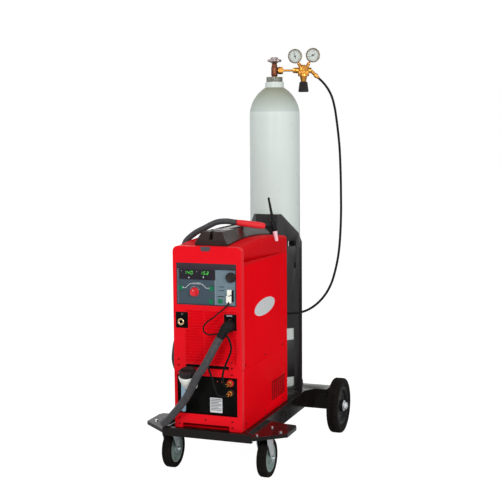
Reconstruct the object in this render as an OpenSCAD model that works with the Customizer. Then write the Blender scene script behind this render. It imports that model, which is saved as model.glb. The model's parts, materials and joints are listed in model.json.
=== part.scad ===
// Water-cooled welding power source on a cylinder cart.
// Origin: on the floor, under the middle of the cart. +Z up, the control panel faces -Y.

/* [Casing] */
// Width of the power source and cooler
machine_w = 290; // [280:1:310]
// Depth from the front face to the rear face
machine_d = 560; // [540:5:600]
// Height of the cooler, from the deck to the seam
cooler_h = 247; // [243:1:260]
// Height of the front bezel above the seam
bezel_h = 485; // [480:1:500]
// Depth of the front bezel's rim
bezel_d = 30; // [26:1:36]
// Wall of the moulded bezels
bezel_wall = 3.5; // [2.5:0.5:5]
// Radius of the bezel's upper corners
bezel_r = 22; // [14:1:26]
// Sheet of the side panels
sheet_t = 1.5; // [1:0.1:2.5]
// Height of the side panels above the seam
side_panel_h = 410; // [395:1:425]
// Rise of the arched top cover over its ends
roof_rise = 16; // [10:1:20]
// Pitch of the louvre ribs
louvre_pitch = 11.5; // [9:0.5:14]
// Thickness of one louvre rib
louvre_rib = 4; // [3:0.5:6]

/* [Carry handle] */
// Length of the top handle moulding
handle_l = 505; // [460:5:520]
// Width of the handle at its foot
handle_foot_w = 146; // [136:1:150]
// Width of the handle at its top
handle_top_w = 92; // [86:1:100]
// Height of the handle moulding
handle_h = 58; // [52:1:62]
// Length of the two finger wells
grip_l = 240; // [200:5:260]
// Width of each finger well
grip_w = 26; // [22:1:28]

/* [Control panel] */
// Width of the control panel
panel_w = 254; // [250:1:258]
// Height of the control panel
panel_h = 167; // [160:1:172]
// Diameter of the setting knob
knob_d = 28; // [24:1:34]
// Side of a square push button
button_w = 17; // [14:0.5:19]
// Travel of a push button
button_travel = 1.5; // [1:0.1:2]
// Diameter of the remote socket cap
remote_d = 40; // [34:1:41]

/* [Cooler] */
// Diameter of the tank's filler cap
tank_cap_d = 70; // [62:1:74]
// Forward tilt of the filler neck
filler_tilt = 18; // [12:1:22]
// Bore of the filler neck
filler_bore = 26; // [20:1:30]
// Diameter of a coolant coupling's nipple
coupling_d = 13; // [11:0.5:16]

/* [Cart] */
// Outer width over the side rails
rail_span = 336; // [330:1:350]
// Height of a side rail
rail_h = 77; // [70:1:80]
// Thickness of the frame's sheet steel
frame_t = 3; // [2.5:0.5:4]
// Reach of the front plate to each side
wing_reach = 306; // [302:1:316]
// Depth of the lip folded down round the front plate
wing_lip = 15; // [10:1:20]
// Thickness of the front plate
wing_t = 4; // [3:0.5:5]
// Thickness of the upright's sheet
upright_t = 2.5; // [2:0.1:2.8]
// Width of the rear axle carrier
carrier_w = 510; // [480:2:520]

/* [Casters] */
// Diameter of a caster wheel
caster_d = 160; // [150:1:164]
// Width of a caster tyre
caster_w = 40; // [34:1:44]
// Height from the floor to the front plate
caster_h = 191; // [190:1:196]
// Trail of the wheel behind its swivel
caster_trail = 31; // [24:1:36]
// Distance of a swivel from the middle plane
caster_x = 206; // [200:1:212]

/* [Rear wheels] */
// Diameter of a rear wheel
rear_wheel_d = 252; // [240:2:260]
// Width of a rear tyre
rear_wheel_w = 50; // [42:1:56]
// Diameter of the rear axle
axle_d = 20; // [16:1:25]

/* [Gas cylinder] */
// Outer diameter of the gas cylinder
cyl_d = 229; // [225:0.5:230]
// Wall of the gas cylinder
cyl_wall = 6; // [5:0.5:8]
// Height of the cylinder's straight side
cyl_side_h = 1258; // [1200:2:1270]
// Radius of the shoulder's arc
shoulder_r = 100; // [90:1:105]
// Diameter of the neck collar
collar_d = 86; // [80:1:92]
// Diameter of the valve body
valve_d = 30; // [26:1:34]
// Diameter of the valve handwheel
handwheel_d = 64; // [56:1:70]

/* [Regulator] */
// Angle of the regulator round the cylinder
reg_yaw = 22; // [14:1:28]
// Diameter of a pressure gauge
gauge_d = 65; // [56:1:68]
// Depth of a pressure gauge's case
gauge_t = 28; // [24:1:34]
// Diameter of the regulator bonnet
bonnet_d = 50; // [44:1:56]

/* [Torch] */
// Diameter of the torch grip
grip_d = 28; // [25:1:30]
// Diameter of the hose pack's sleeve at the machine
pack_d = 32; // [30:1:34]
// Diameter of the hose pack at the torch
pack_end_d = 24; // [22:1:26]
// Diameter of the gas hose
gas_hose_d = 10.5; // [8:0.5:12]
// Diameter of a coolant hose
water_hose_d = 8; // [6:0.5:9]
// Diameter of the control cable
cable_d = 6; // [5:0.5:7]

/* [Fits] */
// Gap between loose neighbours
gap = 0.3; // [0.2:0.05:0.5]
// Radial clearance of turning fits
run = 0.06; // [0.02:0.01:0.1]

/* [Hidden] */
$fn = 48;

// Planes of the machine
front_y = -445;
rear_y = front_y + machine_d;
half_w = machine_w / 2;
side_inset = 1;
side_x = half_w - side_inset;
deck_gap = 6;
deck_t = 4;
wing_top = caster_h + wing_t;
deck_z = wing_top + deck_gap + deck_t;
seam_z = deck_z + cooler_h;
bezel_top = seam_z + bezel_h;
fold_z = seam_z + side_panel_h;
cover_z = fold_z + gap;
bezel_back = front_y + bezel_d;
pocket_z = cover_z + 13;
pocket_d = 24;
eaves_z = bezel_top - 28;
pocket_l = 495;

// Control panel
panel_x0 = -130;
panel_z0 = seam_z + 252;
panel_cx = panel_x0 + panel_w / 2;
panel_top = panel_z0 + panel_h;
panel_face_y = front_y + 3;
knob_pos = [-53, seam_z + 304];
buttons = [[-113, seam_z + 319], [19.5, seam_z + 320], [17, seam_z + 269], [56, seam_z + 272]];
remote_pos = [103, seam_z + 368];
plug_pos = [99, seam_z + 294];

// Sockets of the power source
socket_z0 = seam_z + 158;
socket_h = 64;
earth_x0 = -135;
torch_x0 = 71;
socket_w = 52;
earth_pos = [-113, seam_z + 182];
torch_pos = [97, seam_z + 188];
switch_pos = [-25, seam_z + 60];
louvre_x0 = -98;
louvre_x1 = 125;
louvre_z0 = seam_z + 19;
louvre_z1 = seam_z + 233;
vent_slot_z = seam_z + 8;
screw_x = 102.5;
screw_z = seam_z + 31;

// Cooler front
recess_x0 = -133;
recess_x1 = 124;
recess_z0 = deck_z + 59;
recess_z1 = deck_z + 216;
recess_y = front_y + 8;
cooler_front_d = 20;
cap_pos = [-66, front_y - 45, deck_z + 227];
cap_h = 22;
spigot_z = cap_pos.z - 52;
spigot_r = filler_bore / 2 + 5;
flow_pos = [94, recess_z1 - 22];
return_pos = [96, recess_z1 - 61];
coupling_l = 40;

// Cart
rail_x = rail_span / 2;
rail_top = deck_z + 2;
rail_bottom = rail_top - rail_h;
rail_end = front_y + 745;
wing_back = front_y + 248;
beam_y = front_y - 26;
beam_x = 190;
beam_z0 = rail_top - 35;
swivel_y = front_y + 82;
caster_turn = 45;
caster_plate = [125, 100];
caster_holes = [105, 80];
caster_bolt_r = 4.2;
wheel_z = caster_d / 2;
axle_z = rear_wheel_d / 2;
axle_y = front_y + 839;
carrier_y0 = front_y + 795;
carrier_y1 = front_y + 883;
carrier_z0 = axle_z - 11;
carrier_top = deck_z + 1;
rear_hub_l = rear_wheel_w + 6;
rear_wheel_x = carrier_w / 2 + 17 + rear_hub_l / 2;
spacer_r = axle_d / 2 + 4;

// Upright that backs the cylinder
cyl_y = front_y + 826.5;
cyl_r = cyl_d / 2;
tray_top = carrier_top + 4;
upright_z = carrier_top;
upright_y = front_y + 704;
upright_half = 51;
wing_end = [124, front_y + 792];
lip_end_x = 139;
upright_top = 1013;
wing_low = 923;
lip_low = 883;
strap_z = 866;
strap_w = 20;
slot_along = [52, 99];

// Gas cylinder
cyl_z = tray_top;
shoulder_z = cyl_z + cyl_side_h;
arc_r0 = cyl_r - shoulder_r;
arc_end_r = arc_r0 + shoulder_r * cos(45);
arc_end_z = shoulder_z + shoulder_r * sin(45);
collar_z = arc_end_z + arc_end_r - collar_d / 2;
collar_h = 25;
guard_d = 74;
guard_h = 22.5;
guard_z = collar_z + collar_h;
valve_top = guard_z + 84;
handwheel_h = 27;
outlet_z = guard_z + 52;

// Regulator, in the frame turned by reg_yaw about the valve
reg_u = 132;
gauge_u = [93, 174];
gauge_z = [outlet_z + 63, outlet_z + 67];
gauge_foot = [reg_u - 7, reg_u + 10.5];
port_z = outlet_z + 4;
port_l = 28;
bonnet_top = outlet_z + 2;
bonnet_h = 28;
neck_h = 25;
reg_knob_h = 46;
reg_knob_d = 47;

// Torch lying over the handle
grip_a = [17, front_y + 268.5, bezel_top + 74.5];
grip_b = [115.3, front_y + 357, bezel_top + 54];
cup_tip = [154, front_y + 398, bezel_top - 12.4];
head_axis = unit([-36, 0, 185]);
neck_end = cup_tip + 68 * head_axis;

// Hose and cable routes
pack_route = [
    [75, -498, 590], [57, -512, 553], [34, -519, 508], [11, -521, 470], [-11, -521, 440],
    [-36, -521, 392], [-63, -519, 346], [-95, -516, 305], [-125, -510, 272], [-153, -500, 243],
    [-176, -485, 227], [-187, -462, 224], [-190, -436, 221], [-188, -402, 215], [-176, -345, 228],
    [-166, -300, 262], [-165, -275, 310], [-172, -290, 362], [-183, -330, 415], [-187, -345, 455],
    [-183, -345, 505], [-170, -340, 570], [-165, -318, 660], [-164, -302, 750], [-168, -286, 836],
    [-174, -270, 888], [-174, -252, 930], [-140, -248, 964], [-89, -244, 992], [-42, -223, 1015],
    [-12, -203, 1017.5], [16.9, -176.6, 1011.5]
];
gas_route = [
    [186, 457, 1623.5], [207, 461, 1602], [231, 456, 1573], [251, 449, 1538], [266, 443, 1490],
    [277, 436, 1435], [287, 428, 1375], [296, 419, 1310], [303, 407, 1240], [309, 394, 1170],
    [314, 380, 1100], [319, 364, 1030], [322, 347, 960], [323, 330, 895], [321, 311, 830],
    [313, 290, 765], [300, 270, 708], [276, 252, 658], [243, 236, 619], [208, 219, 594],
    [176, 200, 583], [146, 176, 582], [126, 148, 584], [120, 117.1, 585]
];
cable_route = [
    [94, -459, 714], [82, -468, 700], [63, -480, 683], [43, -490, 665], [20, -499, 647],
    [8, -504, 628], [13, -507, 611], [29, -507, 602], [48, -505, 603], [69, -500, 606]
];
flow_route = [
    [86, -492, 606], [98, -502, 603], [111, -505, 594], [119, -505, 577], [123, -503, 550],
    [112, -500, 517], [97, -500, 483], [88, -503, 452], [87, -506, 434], [90, -507.5, 419],
    [93, -504.5, 407.5], [94, -497, 400.8], [94, -488.5, 399], [94, -481.1, 399]
];
return_route = [
    [80, -477, 598], [69, -478, 577], [54, -485, 553], [37, -492, 520], [25, -497, 490],
    [28, -499, 461], [39, -499, 430], [48, -500, 404], [56, -503, 381], [67, -506.5, 366],
    [79, -506, 360.3], [90, -500.5, 359.8], [95.9, -491, 360], [96, -481.1, 360]
];

function unit(v) = v / norm(v);
function tangent(p, i) = unit(p[min(i + 1, len(p) - 1)] - p[max(i - 1, 0)]);
function square_off(n, t) = unit(n - (n * t) * t);
// Ring normals carried along a route without twist
function normals(p, n, i = 0) =
    i == len(p) ? [] :
    let (m = square_off(n, tangent(p, i))) concat([m], normals(p, m, i + 1));
function mix(a, b, f) = a + (b - a) * f;
// Lathe points of an arc about [cx, cz], from angle a0 to angle a1
function arc(cx, cz, r, a0, a1, steps) =
    [for (i = [0 : steps]) let (a = mix(a0, a1, i / steps)) [cx + r * cos(a), cz + r * sin(a)]];

// Rounded rectangle with its corner on the origin
module rounded(w, h, r) {
    union() {
        translate([r, 0]) square([w - 2 * r, h]);
        translate([0, r]) square([w, h - 2 * r]);
        for (x = [r, w - r], y = [r, h - r]) translate([x, y]) circle(r, $fn = 32);
    }
}

// Box between two corners
module block(a, b) { translate(a) cube(b - a); }

// Extrudes an XZ outline from y by depth d
module front_face(y, d) { translate([0, y + d, 0]) rotate([90, 0, 0]) linear_extrude(d) children(); }

// Extrudes a YZ outline from x by thickness t
module side_face(x, t) { translate([x, 0, 0]) rotate([90, 0, 90]) linear_extrude(t) children(); }

module along_y(x, y, z, r, l) { translate([x, y, z]) rotate([-90, 0, 0]) cylinder(r = r, h = l); }
module along_x(x, y, z, r, l) { translate([x, y, z]) rotate([0, 90, 0]) cylinder(r = r, h = l); }

// Puts +Z of its children along the line from a to b, with their origin at a
module toward(a, b) {
    v = b - a;
    translate(a) rotate([0, acos(v.z / norm(v)), atan2(v.y, v.x)]) children();
}

// Strip of thickness t on the left side of the line from p to q
module strip(p, q, t) {
    d = unit(q - p);
    n = [-d.y, d.x];
    polygon([p, q, q + n * t, p + n * t]);
}

module both_sides() { for (s = [0, 1]) mirror([s, 0, 0]) children(); }

// Round tube swept along a route, its radius going from r0 to r1
module tube(p, r0, r1, sides, ref) {
    n = normals(p, ref);
    last = len(p) - 1;
    points = [
        for (i = [0 : last]) let (t = tangent(p, i), b = cross(t, n[i]), r = mix(r0, r1, i / last))
        for (k = [0 : sides - 1]) p[i] + r * (cos(360 * k / sides) * n[i] + sin(360 * k / sides) * b)
    ];
    walls = [
        for (i = [0 : last - 1], k = [0 : sides - 1])
        let (a = i * sides + k, b = i * sides + (k + 1) % sides)
        each [[a, a + sides, b + sides], [a, b + sides, b]]
    ];
    ends = [[for (k = [0 : sides - 1]) k], [for (k = [sides - 1 : -1 : 0]) last * sides + k]];
    polyhedron(points, concat(walls, ends));
}

// ---------------------------------------------------------------- cart

module chassis_frame() {
    color("#17181a") {
        both_sides() {
            difference() {
                side_face(rail_x - frame_t, frame_t) polygon([
                    [front_y - 6, wing_top + gap], [front_y - 6, rail_top], [rail_end, rail_top],
                    [rail_end, rail_bottom], [wing_back + 14, rail_bottom], [wing_back + 2, wing_top + gap]
                ]);
            }
            block([rail_x - 28, wing_back + 14, rail_bottom], [rail_x, rail_end, rail_bottom + frame_t]);
            // angled web from the rail to the axle carrier
            translate([0, 0, rail_bottom]) linear_extrude(rail_h - 1)
                strip([rail_x, rail_end - 1], [rail_x + 34, carrier_y0 + 2], frame_t);
        }
        // deck the machine stands on
        block([-rail_x + 1, front_y - 6, deck_z - deck_t], [rail_x - 1, front_y + 702, deck_z]);
        // front beam, a channel open to the rear
        block([-beam_x, beam_y, beam_z0], [beam_x, beam_y + frame_t, rail_top - 1]);
        block([-beam_x, beam_y, rail_top - 1 - frame_t], [beam_x, front_y - 4, rail_top - 1]);
        block([-beam_x, beam_y, beam_z0], [beam_x, front_y - 6, beam_z0 + frame_t]);
        // cross member under the deck
        block([-rail_x + 1, front_y + 380, deck_z - 26], [rail_x - 1, front_y + 420, deck_z - 1]);
        // plate from the deck to the axle carrier
        translate([0, 0, carrier_top - deck_t]) linear_extrude(deck_t) polygon([
            [-rail_x, front_y + 700], [rail_x, front_y + 700], [rail_x, rail_end],
            [rail_x + 34, carrier_y0 + 3], [-rail_x - 34, carrier_y0 + 3], [-rail_x, rail_end]
        ]);
        axle_carrier();
        cylinder_tray();
    }
}

// Channel open downwards that holds the rear axle in its end plates
module axle_carrier() {
    half = carrier_w / 2;
    difference() {
        block([-half, carrier_y0, carrier_z0], [half, carrier_y1, carrier_top]);
        block([-half + deck_t, carrier_y0 + deck_t, carrier_z0 - 1],
              [half - deck_t, carrier_y1 - deck_t, carrier_top - deck_t]);
        along_x(-half - 1, axle_y, axle_z, axle_d / 2 + run, carrier_w + 2);
    }
    // axle saddles under the top plate
    for (x = [-90, 90]) difference() {
        block([x - 3, carrier_y0 + 1, carrier_z0], [x + 3, carrier_y1 - 1, carrier_top - 1]);
        along_x(x - 4, axle_y, axle_z, axle_d / 2 + run, 8);
    }
}

// Round plate under the cylinder with a low rim behind it
module cylinder_tray() {
    rim_r = cyl_r + 12;
    split = 21;
    translate([0, cyl_y, carrier_top - 1]) {
        cylinder(r = cyl_r - 8, h = 5, $fn = 96);
        difference() {
            cylinder(r = rim_r, h = 20, $fn = 96);
            translate([0, 0, 5]) cylinder(r = rim_r - frame_t, h = 30, $fn = 96);
            translate([-rim_r - 1, -rim_r - 1, -1]) cube([2 * rim_r + 2, rim_r + 1 + split, 40]);
        }
    }
}

wing_front = beam_y + frame_t + gap;
module wing_outline() {
    polygon([
        [-beam_x, wing_front], [beam_x, wing_front], [wing_reach, front_y + 75],
        [wing_reach, front_y + 190], [wing_reach - 9, front_y + 212], [245, front_y + 218],
        [rail_x - 1, wing_back - 3], [1 - rail_x, wing_back - 3], [-245, front_y + 218],
        [9 - wing_reach, front_y + 212], [-wing_reach, front_y + 190], [-wing_reach, front_y + 75]
    ]);
}

module caster_bolts() {
    both_sides() translate([caster_x, swivel_y, 0]) rotate([0, 0, caster_turn])
        for (x = [-1, 1], y = [-1, 1])
            translate([x * caster_holes[0] / 2, y * caster_holes[1] / 2, 0]) children();
}

module front_plate() {
    color("#1b1b1d") difference() {
        union() {
            translate([0, 0, caster_h]) linear_extrude(wing_t) wing_outline();
            both_sides() translate([0, 0, wing_top - wing_lip]) linear_extrude(wing_lip) {
                strip([beam_x, wing_front], [wing_reach, front_y + 75], frame_t);
                strip([wing_reach, front_y + 75], [wing_reach, front_y + 190], frame_t);
                strip([wing_reach, front_y + 190], [wing_reach - 9, front_y + 212], frame_t);
                strip([wing_reach - 9, front_y + 212], [245, front_y + 218], frame_t);
            }
        }
        caster_bolts() translate([0, 0, caster_h - 1]) cylinder(r = caster_bolt_r, h = wing_t + 2);
    }
}

module rear_axle() {
    half = carrier_w / 2;
    reach = rear_wheel_x + rear_hub_l / 2;
    color("#8b8f93") {
        along_x(-reach - 14, axle_y, axle_z, axle_d / 2, 2 * reach + 28);
        both_sides() along_x(half + 0.05, axle_y, axle_z, spacer_r, reach - rear_hub_l - half - gap - 0.05);
    }
}

// Outline of the upright's thickness: middle, wing and lip of the right half
module upright_plan() {
    mid = [upright_half, upright_y];
    strip([0, upright_y], mid, upright_t);
    strip(mid, wing_end, upright_t);
    strip(wing_end, [lip_end_x, wing_end.y], upright_t);
    translate(wing_end + [0, upright_t / 2]) circle(upright_t / 2, $fn = 32);
}

// Cuts through the right wing, from a to b along it and from z0 to z1
module wing_cut(a, b, z0, z1) {
    w = wing_end - [upright_half, upright_y];
    translate([upright_half, upright_y, z0]) rotate([0, 0, atan2(w.y, w.x)])
        translate([a, -12, 0]) cube([b - a, 30, z1 - z0]);
}

module cylinder_upright() {
    flat_end = upright_half + 13;
    color("#3d3e43") difference() {
        intersection() {
            translate([0, 0, upright_z]) linear_extrude(upright_top - upright_z) both_sides() upright_plan();
            front_face(upright_y - 20, 140) polygon([
                [-lip_end_x, upright_z], [lip_end_x, upright_z], [lip_end_x, lip_low],
                [wing_end.x, wing_low], [flat_end, upright_top], [-flat_end, upright_top],
                [-wing_end.x, wing_low], [-lip_end_x, lip_low]
            ]);
        }
        both_sides() {
            wing_cut(slot_along[0], slot_along[1], strap_z - 1, strap_z + strap_w + 3);
            wing_cut(90, 98, 763, 789);
            wing_cut(30, 90, 434, 488);
            wing_cut(30, 90, 212, 262);
        }
    }
}

// Band that holds the cylinder back against the upright
module cylinder_strap() {
    inner = cyl_r + gap;
    color("#2a2a2c") translate([0, cyl_y, strap_z + 1]) {
        rotate([0, 0, -28]) rotate_extrude(angle = 236, $fn = 96) translate([inner, 0]) square([2, strap_w]);
        both_sides() rotate([0, 0, -28]) translate([inner, -2, 0]) cube([14, 2.5, strap_w]);
        translate([-18, inner + 1, -4]) cube([36, 9, strap_w + 8]);
    }
}

module hex_head(r, h) { cylinder(r = r, h = h, $fn = 6); }

// Screw heads on a flat face, pointing to -Y
module screw_y(x, y, z) { translate([x, y, z]) rotate([90, 0, 0]) cylinder(r = 3.4, h = 1.6, $fn = 24); }

module fasteners() {
    color("#c9ccd0") {
        // caster bolts with their nuts
        caster_bolts() {
            translate([0, 0, wing_top]) hex_head(7, 5);
            translate([0, 0, caster_h - 12]) cylinder(r = 4, h = wing_t + 12);
            translate([0, 0, caster_h - wing_t - 6]) hex_head(7, 6);
        }
        // nuts and washers on the rear axle
        both_sides() translate([rear_wheel_x + rear_hub_l / 2 + gap, axle_y, axle_z]) rotate([0, 90, 0])
            difference() {
                union() {
                    cylinder(r = axle_d / 2 + 7, h = 2.5);
                    translate([0, 0, 2.5]) hex_head(axle_d / 2 + 6, 8);
                }
                translate([0, 0, -1]) cylinder(r = axle_d / 2 + 0.02, h = 20);
            }
        // screws of the side panels
        both_sides() for (y = [44, 270, 496], z = [seam_z + 14, deck_z + 26, deck_z + 6])
            along_x(side_x, front_y + y, z, 3.4, 1.6);
    }
    color("#5a1014") {
        for (x = [-125, screw_x], z = [seam_z + 7, screw_z]) screw_y(x, front_y, z);
        for (x = [-125, -12, screw_x]) screw_y(x, front_y, recess_z1 + 12);
        for (x = [-125, -12, screw_x]) screw_y(x, front_y, recess_z0 - 19.5);
        for (x = [-125, screw_x]) screw_y(x, front_y, deck_z + 15.5);
    }
}

// ---------------------------------------------------------------- casters

module at_caster() { both_sides() translate([caster_x, swivel_y, 0]) children(); }

module caster_plates() {
    plate_t = 4;
    color("#b9bec3") at_caster() {
        translate([0, 0, caster_h - plate_t]) difference() {
            rotate([0, 0, caster_turn]) translate(-caster_plate / 2) linear_extrude(plate_t)
                rounded(caster_plate[0], caster_plate[1], 10);
            rotate([0, 0, caster_turn]) for (x = [-1, 1], y = [-1, 1])
                translate([x * caster_holes[0] / 2, y * caster_holes[1] / 2, -1])
                    cylinder(r = caster_bolt_r, h = plate_t + 2);
        }
        translate([0, 0, caster_h - 9]) cylinder(r = 34, h = 5.5);
        translate([0, 0, caster_h - 24]) cylinder(r = 6, h = 20);
        translate([0, 0, caster_h - 26]) cylinder(r = 11, h = 6 - gap);
    }
}

// Fork with its race, legs, axle sleeve and bolt, about the swivel
module caster_fork() {
    crown_z = caster_h - 20;
    leg_x = caster_w / 2 + 2;
    leg_t = 3;
    color("#aeb4ba") {
        difference() {
            union() {
                translate([0, 0, crown_z]) cylinder(r = 36, h = 4);
                translate([0, 0, crown_z + 3]) cylinder(r = 31, h = 8 - gap);
                block([-leg_x - leg_t, -26, crown_z], [leg_x + leg_t, 30, crown_z + 4]);
            }
            translate([0, 0, crown_z - 1]) cylinder(r = 6 + run, h = 30);
            translate([0, 0, crown_z + 4]) cylinder(r = 20, h = 30);
        }
        both_sides() side_face(leg_x, leg_t) {
            polygon([[-28, crown_z + 4], [32, crown_z + 4], [caster_trail + 17, wheel_z],
                     [caster_trail - 17, wheel_z], [-24, crown_z - 22]]);
            translate([caster_trail, wheel_z]) circle(17);
        }
        along_x(-leg_x - 1, caster_trail, wheel_z, 8, 2 * leg_x + 2);
        along_x(-leg_x - 9, caster_trail, wheel_z, 5, 2 * leg_x + 20);
        both_sides() translate([leg_x + leg_t, caster_trail, wheel_z]) rotate([0, 90, 0]) hex_head(9, 6);
    }
}

module caster_rim() {
    rim_r = caster_d / 2 - 22;
    hub = caster_w / 2 + 1.6;
    color("#9aa1a8") translate([0, caster_trail, wheel_z]) rotate([0, 90, 0]) rotate_extrude($fn = 64)
        polygon([
        [8 + run, -hub], [22, -hub], [24, -9], [rim_r - 12, -7], [rim_r - 8, -caster_w / 2 + 4],
        [rim_r, -caster_w / 2 + 4], [rim_r, caster_w / 2 - 4], [rim_r - 8, caster_w / 2 - 4],
        [rim_r - 12, 7], [24, 9], [22, hub], [8 + run, hub]
    ]);
}

module caster_tyre() {
    r = caster_d / 2;
    half = caster_w / 2;
    color("#1d1d1e") translate([0, caster_trail, wheel_z]) rotate([0, 90, 0]) rotate_extrude($fn = 96)
        polygon(concat(
            [[r - 22 + run, -half + 3], [r - 14, -half]], arc(r - 9, -half + 9, 9, -90, -25, 4),
            arc(r - 9, half - 9, 9, 25, 90, 4), [[r - 14, half], [r - 22 + run, half - 3]]));
}

// ---------------------------------------------------------------- rear wheels

module at_rear_wheel(side) { translate([side * rear_wheel_x, axle_y, axle_z]) rotate([0, 90, 0]) children(); }

module rear_rim(side) {
    rim_r = rear_wheel_d / 2 - 38;
    half = rear_wheel_w / 2;
    hub = rear_hub_l / 2;
    color("#2b2b2d") at_rear_wheel(side) rotate_extrude($fn = 96) polygon([
        [axle_d / 2 + run, -hub], [24, -hub], [27, -8], [rim_r - 18, -6], [rim_r - 10, -half + 5],
        [rim_r, -half + 5], [rim_r, half - 5], [rim_r - 10, half - 5], [rim_r - 18, 6], [27, 8], [24, hub],
        [axle_d / 2 + run, hub]
    ]);
}

module rear_tyre(side) {
    r = rear_wheel_d / 2;
    half = rear_wheel_w / 2;
    color("#202021") at_rear_wheel(side) rotate_extrude($fn = 128) polygon(concat(
        [[r - 38 + run, -half + 4], [r - 26, -half]], arc(r - 10, -half + 10, 10, -90, -12, 4),
        arc(r - 10, half - 10, 10, 12, 90, 4), [[r - 26, half], [r - 38 + run, half - 4]]));
}

// ---------------------------------------------------------------- cooler

module cooler_case() {
    vent_y = front_y + 378;
    vent_z = deck_z + 82;
    color("#cf1520") {
        difference() {
            block([-side_x, front_y + cooler_front_d + gap, deck_z], [side_x, rear_y, seam_z]);
            block([-side_x + sheet_t, front_y, deck_z + 2],
                  [side_x - sheet_t, rear_y - sheet_t, seam_z - sheet_t]);
            // perforated fields in both sides
            for (i = [0 : 6], k = [0 : 8])
                block([-side_x - 1, vent_y + 22 * i, vent_z + 12 * k],
                      [side_x + 1, vent_y + 22 * i + 14, vent_z + 12 * k + 6]);
            // slots in the rear wall
            for (k = [0 : 11])
                block([-100, rear_y - 5, deck_z + 60 + 12 * k], [100, rear_y + 1, deck_z + 66 + 12 * k]);
        }
    }
}

module cooler_front() {
    foot_w = 32;
    color("#d9141f") difference() {
        front_face(front_y, cooler_front_d) translate([-half_w, deck_z])
            rounded(machine_w, cooler_h - gap, 3);
        block([-half_w + 4, front_y + 5, deck_z + 24], [half_w - 4, rear_y, seam_z - 4]);
        block([-half_w + foot_w, front_y - 1, deck_z - 1], [89, front_y + 40, deck_z + 20]);
        block([recess_x0, front_y - 1, recess_z0], [recess_x1, front_y + 40, recess_z1]);
    }
}

// Axis of the filler neck, with +Z out of its mouth and 0 at the cap's seat
module at_filler() { translate(cap_pos) rotate([filler_tilt, 0, 0]) children(); }

module recess_panel() {
    color("#131416") difference() {
        union() {
            front_face(recess_y, 3) translate([recess_x0 - 3, recess_z0 - 3])
                square([recess_x1 - recess_x0 + 6, recess_z1 - recess_z0 + 6]);
            // raised plates for the coupling marks
            front_face(recess_y - 1.2, 1.3) translate([-62, recess_z0 + 10]) rounded(58, 60, 3);
            front_face(recess_y - 1.2, 1.3) translate([5, recess_z0 + 10]) rounded(53, 62, 3);
        }
        along_y(cap_pos.x, recess_y - 2, spigot_z, spigot_r + gap, 8);
        for (p = [flow_pos, return_pos]) along_y(p[0], recess_y - 2, p[1], 11, 8);
    }
}

module coolant_tank() {
    tank_y = recess_y + 3 + gap;
    mouth_r = tank_cap_d / 2 + 3;
    color("#e8ebe6") {
        difference() {
            union() {
                // funnel-shaped filler, with a spigot through the panel into the tank
                at_filler() rotate_extrude($fn = 64) polygon([
                    [0, -gap], [mouth_r - 3, -gap], [mouth_r, -4], [mouth_r, -9], [mouth_r - 3, -22],
                    [mouth_r - 10, -40], [mouth_r - 18, -56], [mouth_r - 27, -66], [0, -69]
                ]);
                along_y(cap_pos.x, cap_pos.y + 17, spigot_z, spigot_r, tank_y + 1 - cap_pos.y - 17);
                block([-120, tank_y, deck_z + 26], [-20, tank_y + 150, deck_z + 200]);
            }
            at_filler() translate([0, 0, -52]) cylinder(r = filler_bore / 2, h = 60);
            along_y(cap_pos.x, cap_pos.y + 17, spigot_z, filler_bore / 2, 60);
            block([-117, tank_y + 3, deck_z + 29], [-23, tank_y + 147, deck_z + 197]);
        }
    }
    // level strip on the front
    color("#9fc3d8") front_face(recess_y - 2, 2) translate([-119, recess_z0 + 4]) rounded(19, 118, 6);
}

module tank_cap() {
    r = tank_cap_d / 2;
    color("#1a1a1b") at_filler() difference() {
        union() {
            rotate_extrude($fn = 64) polygon(concat(
                [[0, 0], [r, 0]], arc(r - 5, cap_h - 5, 5, 0, 90, 4), [[0, cap_h]]));
            // grip bar across the top
            translate([-r + 8, -4, cap_h - 1]) cube([2 * r - 16, 8, 5]);
        }
        // finger scallops round the rim
        for (a = [0 : 30 : 330]) rotate([0, 0, a]) translate([r + 3, 0, 4])
            cylinder(r = 5, h = cap_h, $fn = 24);
    }
}

module coolant_couplings() {
    for (p = [flow_pos, return_pos]) {
        color("#c8922f") {
            along_y(p[0], front_y - coupling_l + 4, p[1], coupling_d / 2, coupling_l);
            translate([p[0], recess_y - 8, p[1]]) rotate([90, 0, 0]) hex_head(10.5, 9);
            along_y(p[0], recess_y - 6, p[1], 10.7, 40);
        }
        color("#b5202a") along_y(p[0], recess_y - 8, p[1], 14, 7.9);
    }
}

module cooler_core() {
    floor_z = deck_z + 2;
    // radiator in front of the rear slots
    color("#6d7276") difference() {
        block([-110, rear_y - 60, floor_z], [110, rear_y - 15, deck_z + 215]);
        for (i = [0 : 15])
            block([-102 + 13 * i, rear_y - 61, floor_z + 12], [-97 + 13 * i, rear_y - 14, deck_z + 205]);
    }
    // pump and its motor
    color("#3f4245") {
        along_y(60, front_y + 190, floor_z + 50, 38, 150);
        block([25, front_y + 200, floor_z], [95, front_y + 330, floor_z + 30]);
    }
    color("#b08a3c") along_y(60, front_y + 150, floor_z + 50, 26, 42);
}

// ---------------------------------------------------------------- power source

// Outline with rounded upper corners and nearly square lower ones
module arched(w, h, r) {
    union() {
        rounded(w, h, r);
        rounded(w, h - r, 3);
    }
}

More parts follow.
